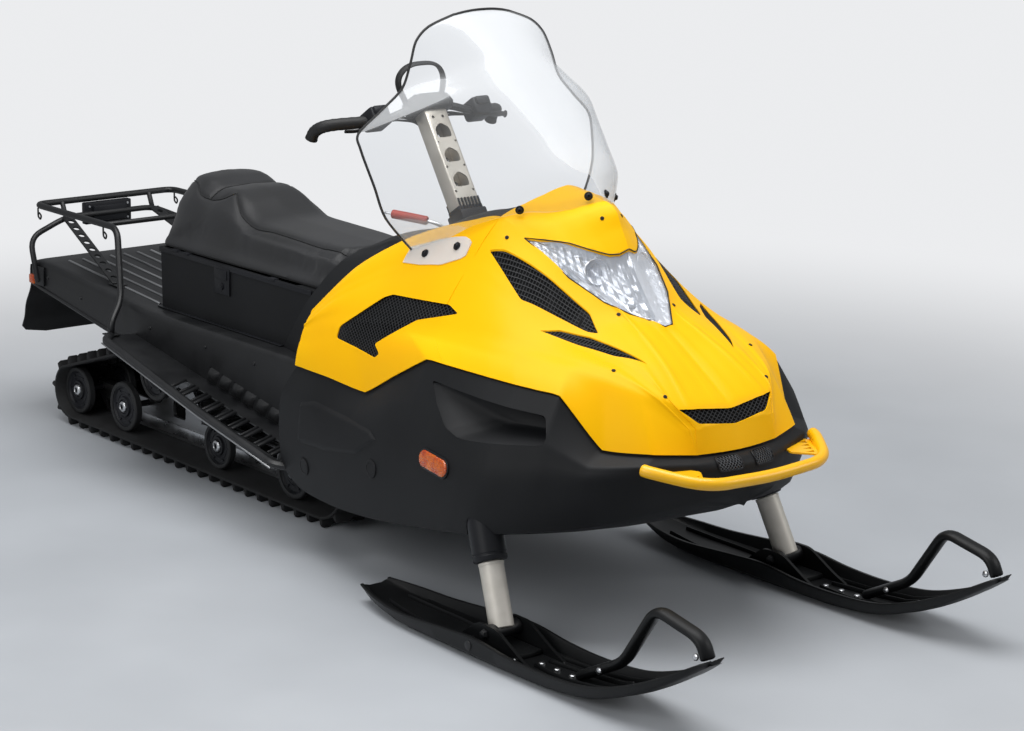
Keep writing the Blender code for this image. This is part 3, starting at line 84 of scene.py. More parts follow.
# %% Set the camera
CAMERA_PLACE = vec(5.56226, -4.25738, 2.15906)
CAMERA_YAW = 2.44827
CAMERA_DOWN = 0.23927
CAMERA_ROLL = 0.0161
LENS_MM = 91.41
SENSOR_MM = 36.0


def aim_camera():
    level = vec(math.cos(CAMERA_YAW), math.sin(CAMERA_YAW), 0.0)
    look = level * math.cos(CAMERA_DOWN) - vec(0.0, 0.0, math.sin(CAMERA_DOWN))
    right = look.cross(vec(0, 0, 1)).normalized()
    up = right.cross(look)
    turned_right = right * math.cos(CAMERA_ROLL) + up * math.sin(CAMERA_ROLL)
    turned_up = up * math.cos(CAMERA_ROLL) - right * math.sin(CAMERA_ROLL)
    data = bpy.data.cameras.new("camera")
    data.sensor_width = SENSOR_MM
    data.lens = LENS_MM
    camera = new_object(data)
    axes = Matrix((turned_right, turned_up, -look)).transposed()
    camera.matrix_world = Matrix.Translation(CAMERA_PLACE) @ axes.to_4x4()
    bpy.context.scene.camera = camera


aim_camera()
bpy.context.scene.view_settings.view_transform = "Standard"
print("camera at", tuple(round(c, 2) for c in CAMERA_PLACE), "with a", LENS_MM, "mm lens")

# %% [markdown]
# ## Tools for materials
# Colours are written as the hex values that a picture editor shows, and one function turns them into the
# linear values that Blender works with. One more function adds a node to a tree with its settings and
# links. All patterns read Object coordinates in metres, so a grain size below is a real size.

# %% Material tools


def linear(code):
    made = []
    for k in (0, 2, 4):
        value = int(code[k:k + 2], 16) / 255
        made.append(value / 12.92 if value <= 0.04045 else ((value + 0.055) / 1.055) ** 2.4)
    return (*made, 1.0)


def add(tree, kind, inputs=None, **settings):
    made = tree.nodes.new(kind)
    for name, value in settings.items():
        setattr(made, name, value)
    for socket, value in (inputs or {}).items():
        if isinstance(value, bpy.types.NodeSocket):
            tree.links.new(value, made.inputs[socket])
        else:
            made.inputs[socket].default_value = value
    return made


def ranged(tree, value, low, high, to_low, to_high, **settings):
    return add(tree, "ShaderNodeMapRange", {
        "Value": value, "From Min": low, "From Max": high, "To Min": to_low, "To Max": to_high,
    }, **settings).outputs["Result"]


def mix_out(tree, share, first, second, output="Material Output"):
    """Mixes two shaders by a share and sends them to the tree's output."""
    mixed = add(tree, "ShaderNodeMixShader", {0: share, 1: first.outputs[0], 2: second.outputs[0]})
    tree.links.new(mixed.outputs[0], tree.nodes[output].inputs["Surface"])


def start_material(name, **shader_values):
    material = bpy.data.materials.new(name)
    material.use_nodes = True
    tree = material.node_tree
    shader = tree.nodes["Principled BSDF"]
    for socket, value in shader_values.items():
        shader.inputs[socket.replace("_", " ")].default_value = value
    place = tree.nodes.new("ShaderNodeTexCoord").outputs["Object"]
    return material, tree, shader, place


def mottle(tree, shader, place, tones, rough, cloud_m, grain_m, grain_depth, stretch=(1, 1, 1)):
    """Two tones in soft clouds, a roughness that wanders, and a fine grain in relief."""
    turned = add(tree, "ShaderNodeMapping", {"Vector": place, "Scale": stretch}).outputs[0]
    cloud = add(tree, "ShaderNodeTexNoise", {"Vector": turned, "Scale": 1 / cloud_m, "Detail": 4.0})
    ramp = add(tree, "ShaderNodeValToRGB", {"Fac": cloud.outputs["Fac"]})
    for stop, position, tone in zip(ramp.color_ramp.elements, (0.36, 0.66), tones):
        stop.position = position
        stop.color = linear(tone)
    tree.links.new(ramp.outputs["Color"], shader.inputs["Base Color"])
    tree.links.new(ranged(tree, cloud.outputs["Fac"], 0.3, 0.7, *rough), shader.inputs["Roughness"])
    grain = add(tree, "ShaderNodeTexNoise", {"Vector": turned, "Scale": 1 / grain_m, "Detail": 2.0})
    relief = add(tree, "ShaderNodeBump", {
        "Height": grain.outputs["Fac"], "Strength": 0.6, "Distance": grain_depth,
    })
    tree.links.new(relief.outputs["Normal"], shader.inputs["Normal"])


def pattern_relief(tree, shader, place, cell_m, strength, depth, feature="F1"):
    """Lets a pattern of cells stand out in relief in place of the fine grain."""
    cells = add(tree, "ShaderNodeTexVoronoi", {"Vector": place, "Scale": 1 / cell_m}, feature=feature)
    relief = add(tree, "ShaderNodeBump", {
        "Height": cells.outputs["Distance"], "Strength": strength, "Distance": depth,
    })
    tree.links.new(relief.outputs["Normal"], shader.inputs["Normal"])


# %% [markdown]
# ## Plastics and paints
# The hood is polyethylene or ABS, moulded in yellow with a smooth satin-gloss skin: a deep colour, a soft
# highlight, and the faint orange peel of a moulded sheet. The side panels and seat box are the same kind of
# plastic in black, moulded with a fine leather-like grain that scatters the light, which is why they look
# dark grey and not black. Steel parts are powder coated, a thick sprayed skin with a slight texture.

# %% Plastics and paints


def plain_finish(name, tones, rough, cloud_m, grain_m, depth, stretch=(1, 1, 1), **shader_values):
    material, tree, shader, place = start_material(name, **shader_values)
    mottle(tree, shader, place, tones, rough, cloud_m, grain_m, depth, stretch)
    return material


def grained_black(name, tones=("111214", "191A1C"), rough=(0.5, 0.6), grain_m=0.0016, depth=0.00022):
    """Black plastic with the pitted grain of a textured mould: cells about 1.6 mm wide."""
    material, tree, shader, place = start_material(name, IOR=1.5, Specular_IOR_Level=0.24)
    mottle(tree, shader, place, tones, rough, 0.25, grain_m * 4, depth * 0.5)
    pattern_relief(tree, shader, place, grain_m, 0.35, depth)
    return material


YELLOW_TONES = ("FFBC00", "FFC200")
YELLOW = plain_finish("yellow_moulded_plastic", YELLOW_TONES, (0.36, 0.42), 0.35, 0.006, 0.00006, IOR=1.45,
                      Specular_IOR_Level=0.16)
BUMPER_YELLOW = plain_finish("yellow_powder_coat", YELLOW_TONES, (0.3, 0.38), 0.12, 0.0016, 0.00008, IOR=1.5,
                             Coat_Weight=0.3, Coat_Roughness=0.18)
PANEL = grained_black("black_grained_polyethylene")
TRIM = grained_black("black_moulded_abs", ("16171A", "1E1F23"), (0.36, 0.46), 0.001, 0.0001)
INNER = grained_black("black_matt_liner", ("050506", "090A0B"), (0.8, 0.9))
COATED = plain_finish("black_powder_coat", ("0E0F11", "17181A"), (0.38, 0.5), 0.09, 0.0014, 0.0001, IOR=1.5)
print("plastics and paints:", YELLOW.name, BUMPER_YELLOW.name, PANEL.name, TRIM.name, COATED.name)

# %% [markdown]
# ## Rubber, vinyl and metals
# The track is moulded rubber with a dusty, almost matt skin. The seat cover is coated vinyl with a printed
# leather grain and a soft sheen. The ski legs and the steering post are painted in a warm silver, so the
# metal flakes lie under a lacquer. The slide rails are extruded aluminium, whose fine lines run along the
# rail, and bolts are zinc plated steel, bright and slightly uneven.

# %% Rubber, vinyl and metals


def rubber(name, tones, rough=(0.7, 0.85)):
    return plain_finish(name, tones, rough, 0.05, 0.0025, 0.0004, IOR=1.52)


def seat_vinyl():
    material, tree, shader, place = start_material(
        "black_seat_vinyl", IOR=1.5, Sheen_Weight=0.1, Sheen_Roughness=0.5)
    mottle(tree, shader, place, ("111214", "18191C"), (0.48, 0.58), 0.18, 0.01, 0.0002)
    pattern_relief(tree, shader, place, 0.0022, 0.3, 0.0003, "DISTANCE_TO_EDGE")
    return material


def metal(name, tones, rough, stretch=(1, 1, 1), grain_m=0.002, depth=0.00004, coat=0.0, metallic=1.0):
    return plain_finish(name, tones, rough, 0.06, grain_m, depth, stretch, Metallic=metallic, Coat_Weight=coat,
                        Coat_Roughness=0.15)


RUBBER = rubber("track_rubber", ("0C0C0D", "17181A"))
TYRE = rubber("idler_rubber", ("131415", "1D1E20"), (0.6, 0.75))
GRIP = rubber("grip_rubber", ("0B0B0C", "121213"), (0.55, 0.65))
VINYL = seat_vinyl()
SILVER = metal("champagne_lacquered_aluminium", ("D0C8BB", "DAD3C7"), (0.4, 0.5), coat=0.3, metallic=0.85)
RAIL = metal("extruded_aluminium", ("9A9B9D", "BEBFC1"), (0.3, 0.46), (0.05, 1, 1), 0.0006)
ZINC = metal("zinc_plated_steel", ("B9BBBE", "DADBDD"), (0.22, 0.36))
CAST = metal("cast_aluminium", ("55575A", "6B6D70"), (0.55, 0.7), grain_m=0.0015, depth=0.0002)
DARK_STEEL = metal("black_oxide_steel", ("3A3B3D", "4A4B4D"), (0.4, 0.55))
CHROME = metal("vacuum_plated_reflector", ("E6E8EA", "F6F7F8"), (0.14, 0.22), grain_m=0.012, depth=0.0004,
               metallic=0.55)
print("metals:", SILVER.name, RAIL.name, ZINC.name, CAST.name, CHROME.name)

# %% [markdown]
# ## Clear and coloured lenses
# The windshield is blown polycarbonate, a few millimetres thick and almost free of tint. The lamp glass is
# the same, harder coated. The marker lamps are acrylic coloured right through, with small moulded prisms
# inside that break the light into a grid.

# %% Lenses


def clear_plastic(name, tint, shine, rough):
    """A thin clear sheet: light passes straight through it, and a small share is mirrored at its faces."""
    material, tree, shader, place = start_material(name, IOR=1.49, Metallic=0.0)
    shader.inputs["Base Color"].default_value = linear(tint)
    haze = add(tree, "ShaderNodeTexNoise", {"Vector": place, "Scale": 9.0, "Detail": 3.0})
    tree.links.new(ranged(tree, haze.outputs["Fac"], 0.35, 0.75, *rough), shader.inputs["Roughness"])
    through = add(tree, "ShaderNodeBsdfTransparent", {"Color": linear(tint)})
    slant = add(tree, "ShaderNodeFresnel", {"IOR": 1.49})
    share = ranged(tree, slant.outputs["Fac"], 0.0, 1.0, *shine)
    mix_out(tree, share, through, shader)
    return material


def coloured_lens(name, tones, prism_m):
    material, tree, shader, place = start_material(
        name, IOR=1.49, Roughness=0.1, Transmission_Weight=0.25, Coat_Weight=0.6)
    mottle(tree, shader, place, tones, (0.08, 0.16), 0.02, 0.01, 0.0001)
    pattern_relief(tree, shader, place, prism_m, 0.8, 0.002)
    return material


SCREEN = clear_plastic("clear_polycarbonate", "FAFBFC", (0.02, 0.36), (0.18, 0.28))
FROSTED = clear_plastic("polycarbonate_flange", "F6F6F4", (0.45, 0.6), (0.2, 0.3))
LAMP_GLASS = clear_plastic("hard_coated_lamp_glass", "F8F9FB", (0.02, 0.5), (0.03, 0.06))
AMBER = coloured_lens("amber_acrylic", ("C8490A", "F07A1E"), 0.006)
RED = coloured_lens("red_acrylic", ("7A0709", "B51216"), 0.006)
LEVER_RED = rubber("red_grip_vinyl", ("8E2A20", "A8382B"), (0.45, 0.55))
print("lenses:", SCREEN.name, LAMP_GLASS.name, AMBER.name, RED.name)

# %% [markdown]
# ## Tools for shapes
# Most covers are sheets laid over a few body lines. A body line is a short table of points, and a smooth
# curve runs through it. Across the machine the lines are joined by nearly flat facets whose corners are
# rounded, which is how a moulded panel looks: crisp, but never sharp. Tables count stations from the
# datum bulkhead, as the CAD source does, and one shift brings a finished mesh into the frame.

# %% Shape tools
DATUM = vec(-0.0122, 0, 0)


def curve_through(points, steps, soft=1.0):
    """Dense points through the given ones: soft 1 is a full curve, and 0 is straight runs."""
    points = [Vector(p) for p in points]
    made = []
    for i, (a, b) in enumerate(zip(points, points[1:])):
        before = points[max(i - 1, 0)]
        after = points[min(i + 2, len(points) - 1)]
        for k in range(steps):
            t = k / steps
            bent = 0.5 * (
                2 * a + (b - before) * t + (2 * before - 5 * a + 4 * b - after) * t**2
                + (3 * a - 3 * b + after - before) * t**3
            )
            made.append(bent * soft + a.lerp(b, t) * (1 - soft))
    made.append(points[-1])
    return made


def bend(first, corner, last, shares):
    """Points on the curve from first to last that the corner pulls toward itself."""
    return [(1 - t) ** 2 * first + 2 * t * (1 - t) * corner + t**2 * last for t in shares]


def eased_corner(before, corner, after, radius, most, steps):
    """One rounded corner. It uses up the given share of each neighbouring side at most."""
    first, last = (corner + way.normalized() * min(radius, way.length * most)
                   for way in (before - corner, after - corner))
    return bend(first, corner, last, [k / steps for k in range(steps + 1)])


def rounded_path(points, radius, steps=6):
    points = [Vector(p) for p in points]
    made = [points[0]]
    for corners in zip(points, points[1:], points[2:]):
        made += eased_corner(*corners, radius, 0.48, steps)
    return made + [points[-1]]


def rounded_section(points, radii, steps=6, crown=0.0):
    """A cross-section whose inner corners are arcs, always with the same number of points."""
    points = [Vector(p) for p in points]
    starts = [points[0]]
    ends = []
    for i in range(1, len(points) - 1):
        corner = points[i]
        back = points[i - 1] - corner
        on = points[i + 1] - corner
        reach = min(radii[i - 1], back.length * 0.42, on.length * 0.42)
        ends.append(corner + back.normalized() * reach)
        starts.append(corner + on.normalized() * reach)
    ends.append(points[-1])
    made = []
    bulge = vec(0, 0.5, 0.86) * crown
    for i, (a, b) in enumerate(zip(starts, ends)):
        for k in range(steps + 1):
            t = k / steps
            made.append(a.lerp(b, t) + bulge * (4 * t * (1 - t)))
        if i < len(points) - 2:
            made += bend(b, points[i + 1], starts[i + 1], (0.25, 0.5, 0.75))
    return made


def smooth(mesh, sharp):
    mesh.shade_smooth()
    mesh.set_sharp_from_angle(angle=math.radians(sharp))


def written_out(bm, name, sharp=40.0):
    mesh = bpy.data.meshes.new(name)
    bm.to_mesh(mesh)
    bm.free()
    smooth(mesh, sharp)
    return new_object(mesh)


def to_piece(name, bm, body, *finishes, sharp=40.0, shift=True, closed=True):
    """Writes a bmesh out as a finished piece that rides on a body."""
    bmesh.ops.remove_doubles(bm, verts=bm.verts, dist=0.00002)
    if closed:
        bmesh.ops.recalc_face_normals(bm, faces=bm.faces)
    if shift:
        bmesh.ops.translate(bm, verts=bm.verts, vec=DATUM)
    obj = written_out(bm, name, sharp)
    for finish in finishes:
        obj.data.materials.append(finish)
    if body:
        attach(obj, body)
    return obj


def settle(obj, sharp=40.0):
    """Applies the modifiers and keeps the result as a plain mesh."""
    graph = bpy.context.evaluated_depsgraph_get()
    mesh = bpy.data.meshes.new_from_object(obj.evaluated_get(graph))
    obj.modifiers.clear()
    obj.data = mesh
    smooth(mesh, sharp)
    return obj


def add_grid(bm, rows, closed_ring=False, slot=0):
    grid = [[bm.verts.new(p) for p in row] for row in rows]
    for first, second in zip(grid, grid[1:]):
        count = len(first)
        for i in range(count if closed_ring else count - 1):
            j = (i + 1) % count
            corners = (first[i], first[j], second[j], second[i])
            if len({tuple(v.co) for v in corners}) > 2:
                bm.faces.new(corners).material_index = slot
    return grid


def cap(bm, ring, slot=0):
    if len({tuple(v.co) for v in ring}) > 2:
        bm.faces.new(ring).material_index = slot


def ring_of(place, sides):
    return [place(2 * math.pi * k / sides) for k in range(sides)]


def mirrored(points):
    return [vec(p.x, -p.y, p.z) for p in points]


def frames_along(points):
    """An across and an up direction at each point of a path, carried along without twist."""
    tangents = []
    for i in range(len(points)):
        ahead = points[min(i + 1, len(points) - 1)]
        behind = points[max(i - 1, 0)]
        tangents.append((ahead - behind).normalized())
    across = tangents[0].orthogonal().normalized()
    if abs(tangents[0].y) < 0.9:
        across = (vec(0, 1, 0) - tangents[0] * tangents[0].y).normalized()
    made = []
    for tangent in tangents:
        across = (across - tangent * across.dot(tangent)).normalized()
        made.append((tangent, across, tangent.cross(across)))
    return made


# A dome stays inside the bar's own length: slices as (distance from the end, share of the radius)
DOME = [(0.0, 0.55), (0.12, 0.86), (0.34, 1.0)]


def add_tube(bm, points, radius, sides=16, scale=(1.0, 1.0), slot=0, domed=True):
    """A bar of round or oval section along a path, with softly domed ends."""
    points = [Vector(p) for p in points]
    rings = []
    for k, (point, axes) in enumerate(zip(points, frames_along(points))):
        tangent, across, up = axes
        r = radius[k] if isinstance(radius, (list, tuple)) else radius
        slices = [(0.0, 1.0)]
        if domed and k == 0:
            slices = DOME
        if domed and k == len(points) - 1:
            slices = [(-move, share) for move, share in reversed(DOME)]
        for move, share in slices:
            centre = point + tangent * (r * move)
            wide, high = (r * share * s for s in scale)
            rings.append([
                centre + across * (wide * math.cos(angle)) + up * (high * math.sin(angle))
                for angle in (2 * math.pi * (i + 0.5) / sides for i in range(sides))
            ])
    add_loft(bm, rings, slot)


def add_loft(bm, sections, slot=0):
    grid = add_grid(bm, sections, closed_ring=True, slot=slot)
    cap(bm, grid[0], slot)
    cap(bm, grid[-1], slot)


def add_lathe(bm, profile, start, axis, sides=32, slot=0):
    """Turns a profile of (distance along the axis, radius) round the axis."""
    axis = Vector(axis).normalized()
    across = axis.orthogonal().normalized()
    up = axis.cross(across)
    turns = ring_of(lambda angle: across * math.cos(angle) + up * math.sin(angle), sides)
    add_loft(bm, [[Vector(start) + axis * distance + turn * max(radius, 0.00001) for turn in turns]
                  for distance, radius in profile], slot)


def chamfer(bm, edges, width):
    return bmesh.ops.bevel(bm, geom=edges, offset=width, segments=2, profile=0.5, affect="EDGES", clamp_overlap=True)


def add_box(bm, low, high, slot=0, edge=0.0, turn=None):
    """A box with edges eased by a small chamfer."""
    made = bmesh.ops.create_cube(bm, size=1.0)["verts"]
    middle = (Vector(low) + Vector(high)) / 2
    size = Vector(high) - Vector(low)
    for vert in made:
        vert.co *= size
    edges = list(dict.fromkeys(e for v in made for e in v.link_edges))
    faces = {f for v in made for f in v.link_faces}
    if edge:
        made = list({v for f in chamfer(bm, edges, edge)["faces"] for v in f.verts})
        faces = {f for v in made for f in v.link_faces}
    verts = {v for f in faces for v in f.verts}
    for vert in verts:
        vert.co = (turn @ vert.co if turn else vert.co) + middle
    for face in faces:
        face.material_index = slot


def add_plate(bm, outline, axis, low, high, slot=0, edge=0.0):
    """An outline pushed straight along X, Y or Z."""
    put = {"X": lambda a, b, c: (c, a, b), "Y": lambda a, b, c: (a, c, b), "Z": lambda a, b, c: (a, b, c)}[axis]
    before = set(bm.edges)
    add_loft(bm, [[Vector(put(a, b, level)) for a, b in outline] for level in (low, high)], slot)
    if edge:
        chamfer(bm, [e for e in bm.edges if e not in before], edge)


def loose_object(bm, name):
    """A cutter or an item: it stands in its own place and goes once it has been used."""
    bmesh.ops.recalc_face_normals(bm, faces=bm.faces)
    return written_out(bm, name)


def carve(obj, cutters, sharp=35.0):
    """Takes the cutters out of a piece. One Boolean does it, since the cutters don't touch."""
    cutter = loose_object(cutters, "cutter")
    step = obj.modifiers.new("openings", "BOOLEAN")
    step.operation = "DIFFERENCE"
    step.solver = "EXACT"
    step.object = cutter
    settle(obj, sharp)
    bpy.data.objects.remove(cutter)
    return obj


def bore(cutters, points, radius, sides=24):
    add_tube(cutters, points, radius, sides, domed=False)


def block(bm, middle, half, slot=0, edge=0.0, turn=None):
    """A box given by its middle and half its size."""
    add_box(bm, Vector(middle) - Vector(half), Vector(middle) + Vector(half), slot, edge, turn)


def shell(obj, thickness, offset=-1.0):
    step = obj.modifiers.new("wall", "SOLIDIFY")
    step.thickness = thickness
    step.offset = offset
    step.use_even_offset = True
    step.thickness_clamp = 1.5
    return obj


def add_both_halves(bm, rows):
    add_grid(bm, rows)
    add_grid(bm, [mirrored(row) for row in rows])


def join_halves(bm, direction, dist=0.0002):
    """Welds the halves of a sheet and turns it outward."""
    bmesh.ops.remove_doubles(bm, verts=bm.verts, dist=dist)
    bmesh.ops.recalc_face_normals(bm, faces=bm.faces)
    face_toward(bm, direction)


def face_toward(bm, direction):
    """Turns an open sheet so that it faces a direction, seen over its whole area."""
    bm.normal_update()
    total = sum(face.calc_area() * face.normal.dot(direction(face.calc_center_median())) for face in bm.faces)
    if total < 0:
        bmesh.ops.reverse_faces(bm, faces=bm.faces[:])


def tree_of(obj):
    bm = bmesh.new()
    bm.from_mesh(obj.data)
    made = BVHTree.FromBMesh(bm)
    bm.free()
    return made


print("shape tools ready, datum shift", DATUM.x)

# %% [markdown]
# ## Tools for repeated parts
# Screws, lugs and slats are made once and set down many times by Geometry Nodes. The tree takes
# a cloud of points, each with a direction to face and one to lie along, sets the item on every point,
# makes the copies real and gives them their material. A second tree turns the edges of a net into wires.
# Hand copying in Python would also work, but a tree keeps the item and its places apart.

# %% Repeating trees


def new_tree(name, **inputs):
    """An empty tree with the named inputs. It returns the tree and its input node's outputs."""
    tree = bpy.data.node_groups.new(name, "GeometryNodeTree")
    for socket, kind in inputs.items():
        tree.interface.new_socket(socket.replace("_", " "), in_out="INPUT", socket_type="NodeSocket" + kind)
    tree.interface.new_socket("Result", in_out="OUTPUT", socket_type="NodeSocketGeometry")
    return tree, add(tree, "NodeGroupInput").outputs


def finish_tree(tree, entry, shape):
    """Makes the copies real and gives them their finish."""
    real = add(tree, "GeometryNodeRealizeInstances", {0: shape.outputs[0]})
    done = add(tree, "GeometryNodeSetMaterial", {"Geometry": real.outputs[0], "Material": entry["Finish"]})
    add(tree, "NodeGroupOutput", {0: done.outputs[0]})
    return tree


def placing_tree():
    tree, entry = new_tree("set items on points", Points="Geometry", Item="Object", Size="Float", Finish="Material")
    item = add(tree, "GeometryNodeObjectInfo", {"Object": entry["Item"]})
    facing, along = (add(tree, "GeometryNodeInputNamedAttribute", {"Name": key}, data_type="FLOAT_VECTOR")
                     for key in ("facing", "along"))
    turn = add(tree, "FunctionNodeAxesToRotation", {0: facing.outputs[0], 1: along.outputs[0]},
               primary_axis="Z", secondary_axis="X")
    placed = add(tree, "GeometryNodeInstanceOnPoints", {
        "Points": entry["Points"], "Instance": item.outputs["Geometry"],
        "Rotation": turn.outputs[0], "Scale": entry["Size"],
    })
    return finish_tree(tree, entry, placed)


def wire_tree():
    tree, entry = new_tree("wires along edges", Net="Geometry", Wire_radius="Float", Finish="Material")
    line = add(tree, "GeometryNodeMeshToCurve", {0: entry["Net"]})
    ring = add(tree, "GeometryNodeCurvePrimitiveCircle", {"Resolution": 4, "Radius": entry["Wire radius"]})
    wire = add(tree, "GeometryNodeCurveToMesh", {
        0: line.outputs[0], "Profile Curve": ring.outputs[0], "Fill Caps": True,
    })
    return finish_tree(tree, entry, wire)


PLACING = placing_tree()
WIRING = wire_tree()


def run_tree(obj, tree, values):
    """Sets the tree's named inputs by their identifiers, runs it, and keeps the plain mesh."""
    step = obj.modifiers.new("repeat", "NODES")
    step.node_group = tree
    for socket in tree.interface.items_tree:
        if socket.in_out == "INPUT" and socket.name in values:
            step[socket.identifier] = values[socket.name]
    return settle(obj)


def repeat(name, body, places, item, finish, size=1.0):
    """Sets an item on each (place, facing, along), given in the tables' stations."""
    mesh = bpy.data.meshes.new(name)
    mesh.from_pydata([Vector(p[0]) + DATUM for p in places], [], [])
    for key, column in (("facing", 1), ("along", 2)):
        layer = mesh.attributes.new(key, "FLOAT_VECTOR", "POINT")
        layer.data.foreach_set("vector", [c for p in places for c in Vector(p[column])])
    obj = new_object(mesh)
    run_tree(obj, PLACING, {"Item": item, "Size": size, "Finish": finish})
    bpy.data.objects.remove(item)
    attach(obj, body)
    print(name, "has", len(places), "items and", len(obj.data.polygons), "faces")


print("trees:", PLACING.name, "and", WIRING.name)

# %% [markdown]
# ## The hood
# The real hood is one big moulding that tilts forward. Its shape is read from six body lines that run from
# the seat to the nose: middle, halfway, shoulder, upper side, crease and belt. A smooth curve goes through
# each line, and at every station the lines are joined across with rounded corners. A subdivision cage
# would also give a smooth hood, but its creases would drift away from the CAD body it has to cover.

# %% Body lines
BODY_ROWS = mm([
    # shoulder, upper side, crease, belt, widest, chine, each as station, half width, height
    ((63, 360, 666), (60, 382, 640), (58, 400, 600),
     (56, 420, 517), (10, 440, 400), (0, 425, 228)),
    ((160, 300, 783), (150, 352, 718), (140, 392, 635),
     (210, 422, 515), (150, 455, 385), (100, 435, 190)),
    ((280, 245, 865), (265, 315, 780), (250, 385, 662),
     (373, 424, 509), (340, 472, 385), (280, 462, 190)),
    ((390, 212, 915), (380, 292, 822), (370, 380, 680),
     (500, 426, 578), (490, 486, 392), (440, 478, 203)),
    ((520, 200, 955), (500, 275, 855), (480, 376, 690),
     (631, 426, 647), (620, 494, 400), (560, 486, 218)),
    ((620, 185, 978), (600, 268, 862), (585, 372, 696),
     (700, 424, 648), (710, 500, 410), (660, 490, 234)),
    ((700, 172, 938), (700, 262, 838), (690, 366, 702),
     (780, 419, 647), (795, 505, 417), (750, 494, 248)),
    ((800, 160, 876), (800, 250, 800), (790, 358, 703),
     (860, 411, 645), (875, 507, 422), (830, 496, 262)),
    ((900, 130, 812), (885, 240, 757), (875, 345, 700),
     (940, 398, 642), (950, 500, 427), (905, 492, 274)),
    ((970, 102, 772), (960, 225, 730), (950, 328, 695),
     (1000, 382, 639), (1020, 470, 432), (975, 462, 288)),
    ((1060, 112, 733), (1040, 210, 707), (1030, 300, 688),
     (1064, 360, 633), (1086, 438, 445), (1050, 415, 302)),
    ((1160, 132, 682), (1130, 190, 680), (1110, 262, 670),
     (1161, 310, 514), (1178, 374, 457), (1145, 345, 323)),
    ((1253, 150, 612), (1225, 172, 632), (1190, 215, 640),
     (1262, 235, 512), (1266, 268, 466), (1240, 245, 356)),
    ((1287, 115, 560), (1283, 130, 560), (1275, 148, 560),
     (1298, 130, 502), (1322, 132, 470), (1310, 122, 390)),
])
TOP_FIRST_ROW = 5
TOP_MIDDLE = mm([
    (660, 0, 1046), (829, 0, 1019), (872, 0, 960), (930, 0, 865), (1031, 0, 752),
    (1100, 0, 708), (1180, 0, 658), (1263, 0, 602), (1291, 0, 560),
])
NOSE_BELT = vec(1.312, 0, 0.5)
NOSE_WIDEST = vec(1.345, 0, 0.474)
NOSE_CHINE = vec(1.338, 0, 0.402)
STEPS = 12
CREASE_RADIUS = 0.016
CROWN = 0.004

lines = [curve_through([row[column] for row in BODY_ROWS], STEPS, soft)
         for column, soft in enumerate((0.9, 0.9, 0.8, 0.25, 0.8, 0.9))]
middle_line = curve_through(TOP_MIDDLE, STEPS, 0.75)
half_line = curve_through([(Vector(middle) + Vector(row[0])) / 2 + vec(0, 0, 0.006)
                           for middle, row in zip(TOP_MIDDLE, BODY_ROWS[TOP_FIRST_ROW:])], STEPS, 0.75)
print("body lines:", len(lines), "with", len(lines[0]), "points each")

# %% [markdown]
# ## Hood skin and openings
# Two grids cover one side: the flank all the way, and the top from the windshield forward. They share the
# shoulder line point for point, so they weld into one skin. The skin is mirrored, given a 3 mm wall and
# pierced for the side vents, intakes, slots, mouth and lamp. The openings are pushed through as plain
# outlines, which is how the mould's own slides form them.

# %% Hood skin


def hood_rows(first, last, with_top):
    rows = []
    for k in range(first * STEPS, last * STEPS + 1):
        points = [lines[c][k] for c in range(4)]
        radii = [CREASE_RADIUS, CREASE_RADIUS * 1.6]
        if with_top:
            t = k - TOP_FIRST_ROW * STEPS
            points = [middle_line[t], half_line[t]] + points
            fade = min(1.0, t / STEPS)
            radii = [0.03, 0.02 * fade] + radii
        rows.append(rounded_section(points, radii, 8, CROWN * 0.6 if with_top else CROWN))
    return rows


def add_nose_lip(bm):
    """Closes the front of the hood from its last station down to the belt."""
    row = hood_rows(len(BODY_ROWS) - 2, len(BODY_ROWS) - 1, True)[-1]
    corner = max(range(len(row)), key=lambda i: row[i].y + (0.002 if row[i].z > 0.55 else -0.1))
    edge, rest = row[:corner + 1], row[corner:]
    belt = curve_through([NOSE_BELT, (1.308, 0.06, 0.5005), (1.2995, 0.118, 0.5018), rest[-1]], 8)
    rows = []
    for k, end in enumerate(rest):
        t = k / (len(rest) - 1)
        line = []
        for i, top in enumerate(edge):
            share = top.y / edge[-1].y
            at = share * (len(belt) - 1)
            j = min(int(at), len(belt) - 2)
            low = belt[j].lerp(belt[j + 1], at - j)
            slide = (end - edge[-1].lerp(rest[-1], t)) * share
            line.append(top.lerp(low, t) + slide)
        rows.append(line)
    add_both_halves(bm, rows)


OPENINGS = mm({
    # side view for the vents, plan for intakes and slots, front view for the mouth
    "side vent": [(210, 617), (214, 648), (346, 743), (377, 755), (598, 767),
                  (642, 752), (508, 715), (381, 634), (412, 615), (393, 601)],
    "intake": [(637, 235), (678, 215), (926, 150), (983, 170), (962, 187), (787, 254)],
    "slot": [(878, 269), (913, 232), (977, 192), (1058, 165),
             (1132, 143), (1066, 188), (980, 229)],
    "mouth": [(-154, 608), (-94, 603), (0, 592), (94, 603),
              (154, 608), (111, 572), (0, 558), (-111, 572)],
})
VISOR_EDGE = mm([(896, 0), (890, 25), (877, 45), (860, 63),
                 (837, 83), (797, 111), (747, 146), (701, 174)])
LAMP_FOOT = mm([(1036, 0), (1032, 27), (980, 66), (927, 106), (842, 145), (701, 174)])


def eased(outline, radius, steps=3):
    """Closed outline with its corners rounded."""
    points = [Vector(p) for p in outline]
    made = []
    for before, corner, after in zip(points[-1:] + points, points, points[1:] + points[:1]):
        made += eased_corner(before, corner, after, radius, 0.45, steps)
    return made


def in_frame(outline):
    """A flat outline whose stations are counted in the frame, as a cutter needs them."""
    return [(x + DATUM.x, y) for x, y in outline]


def both_sides(half):
    return half + [(x, -y) for x, y in reversed(half) if y > 0]


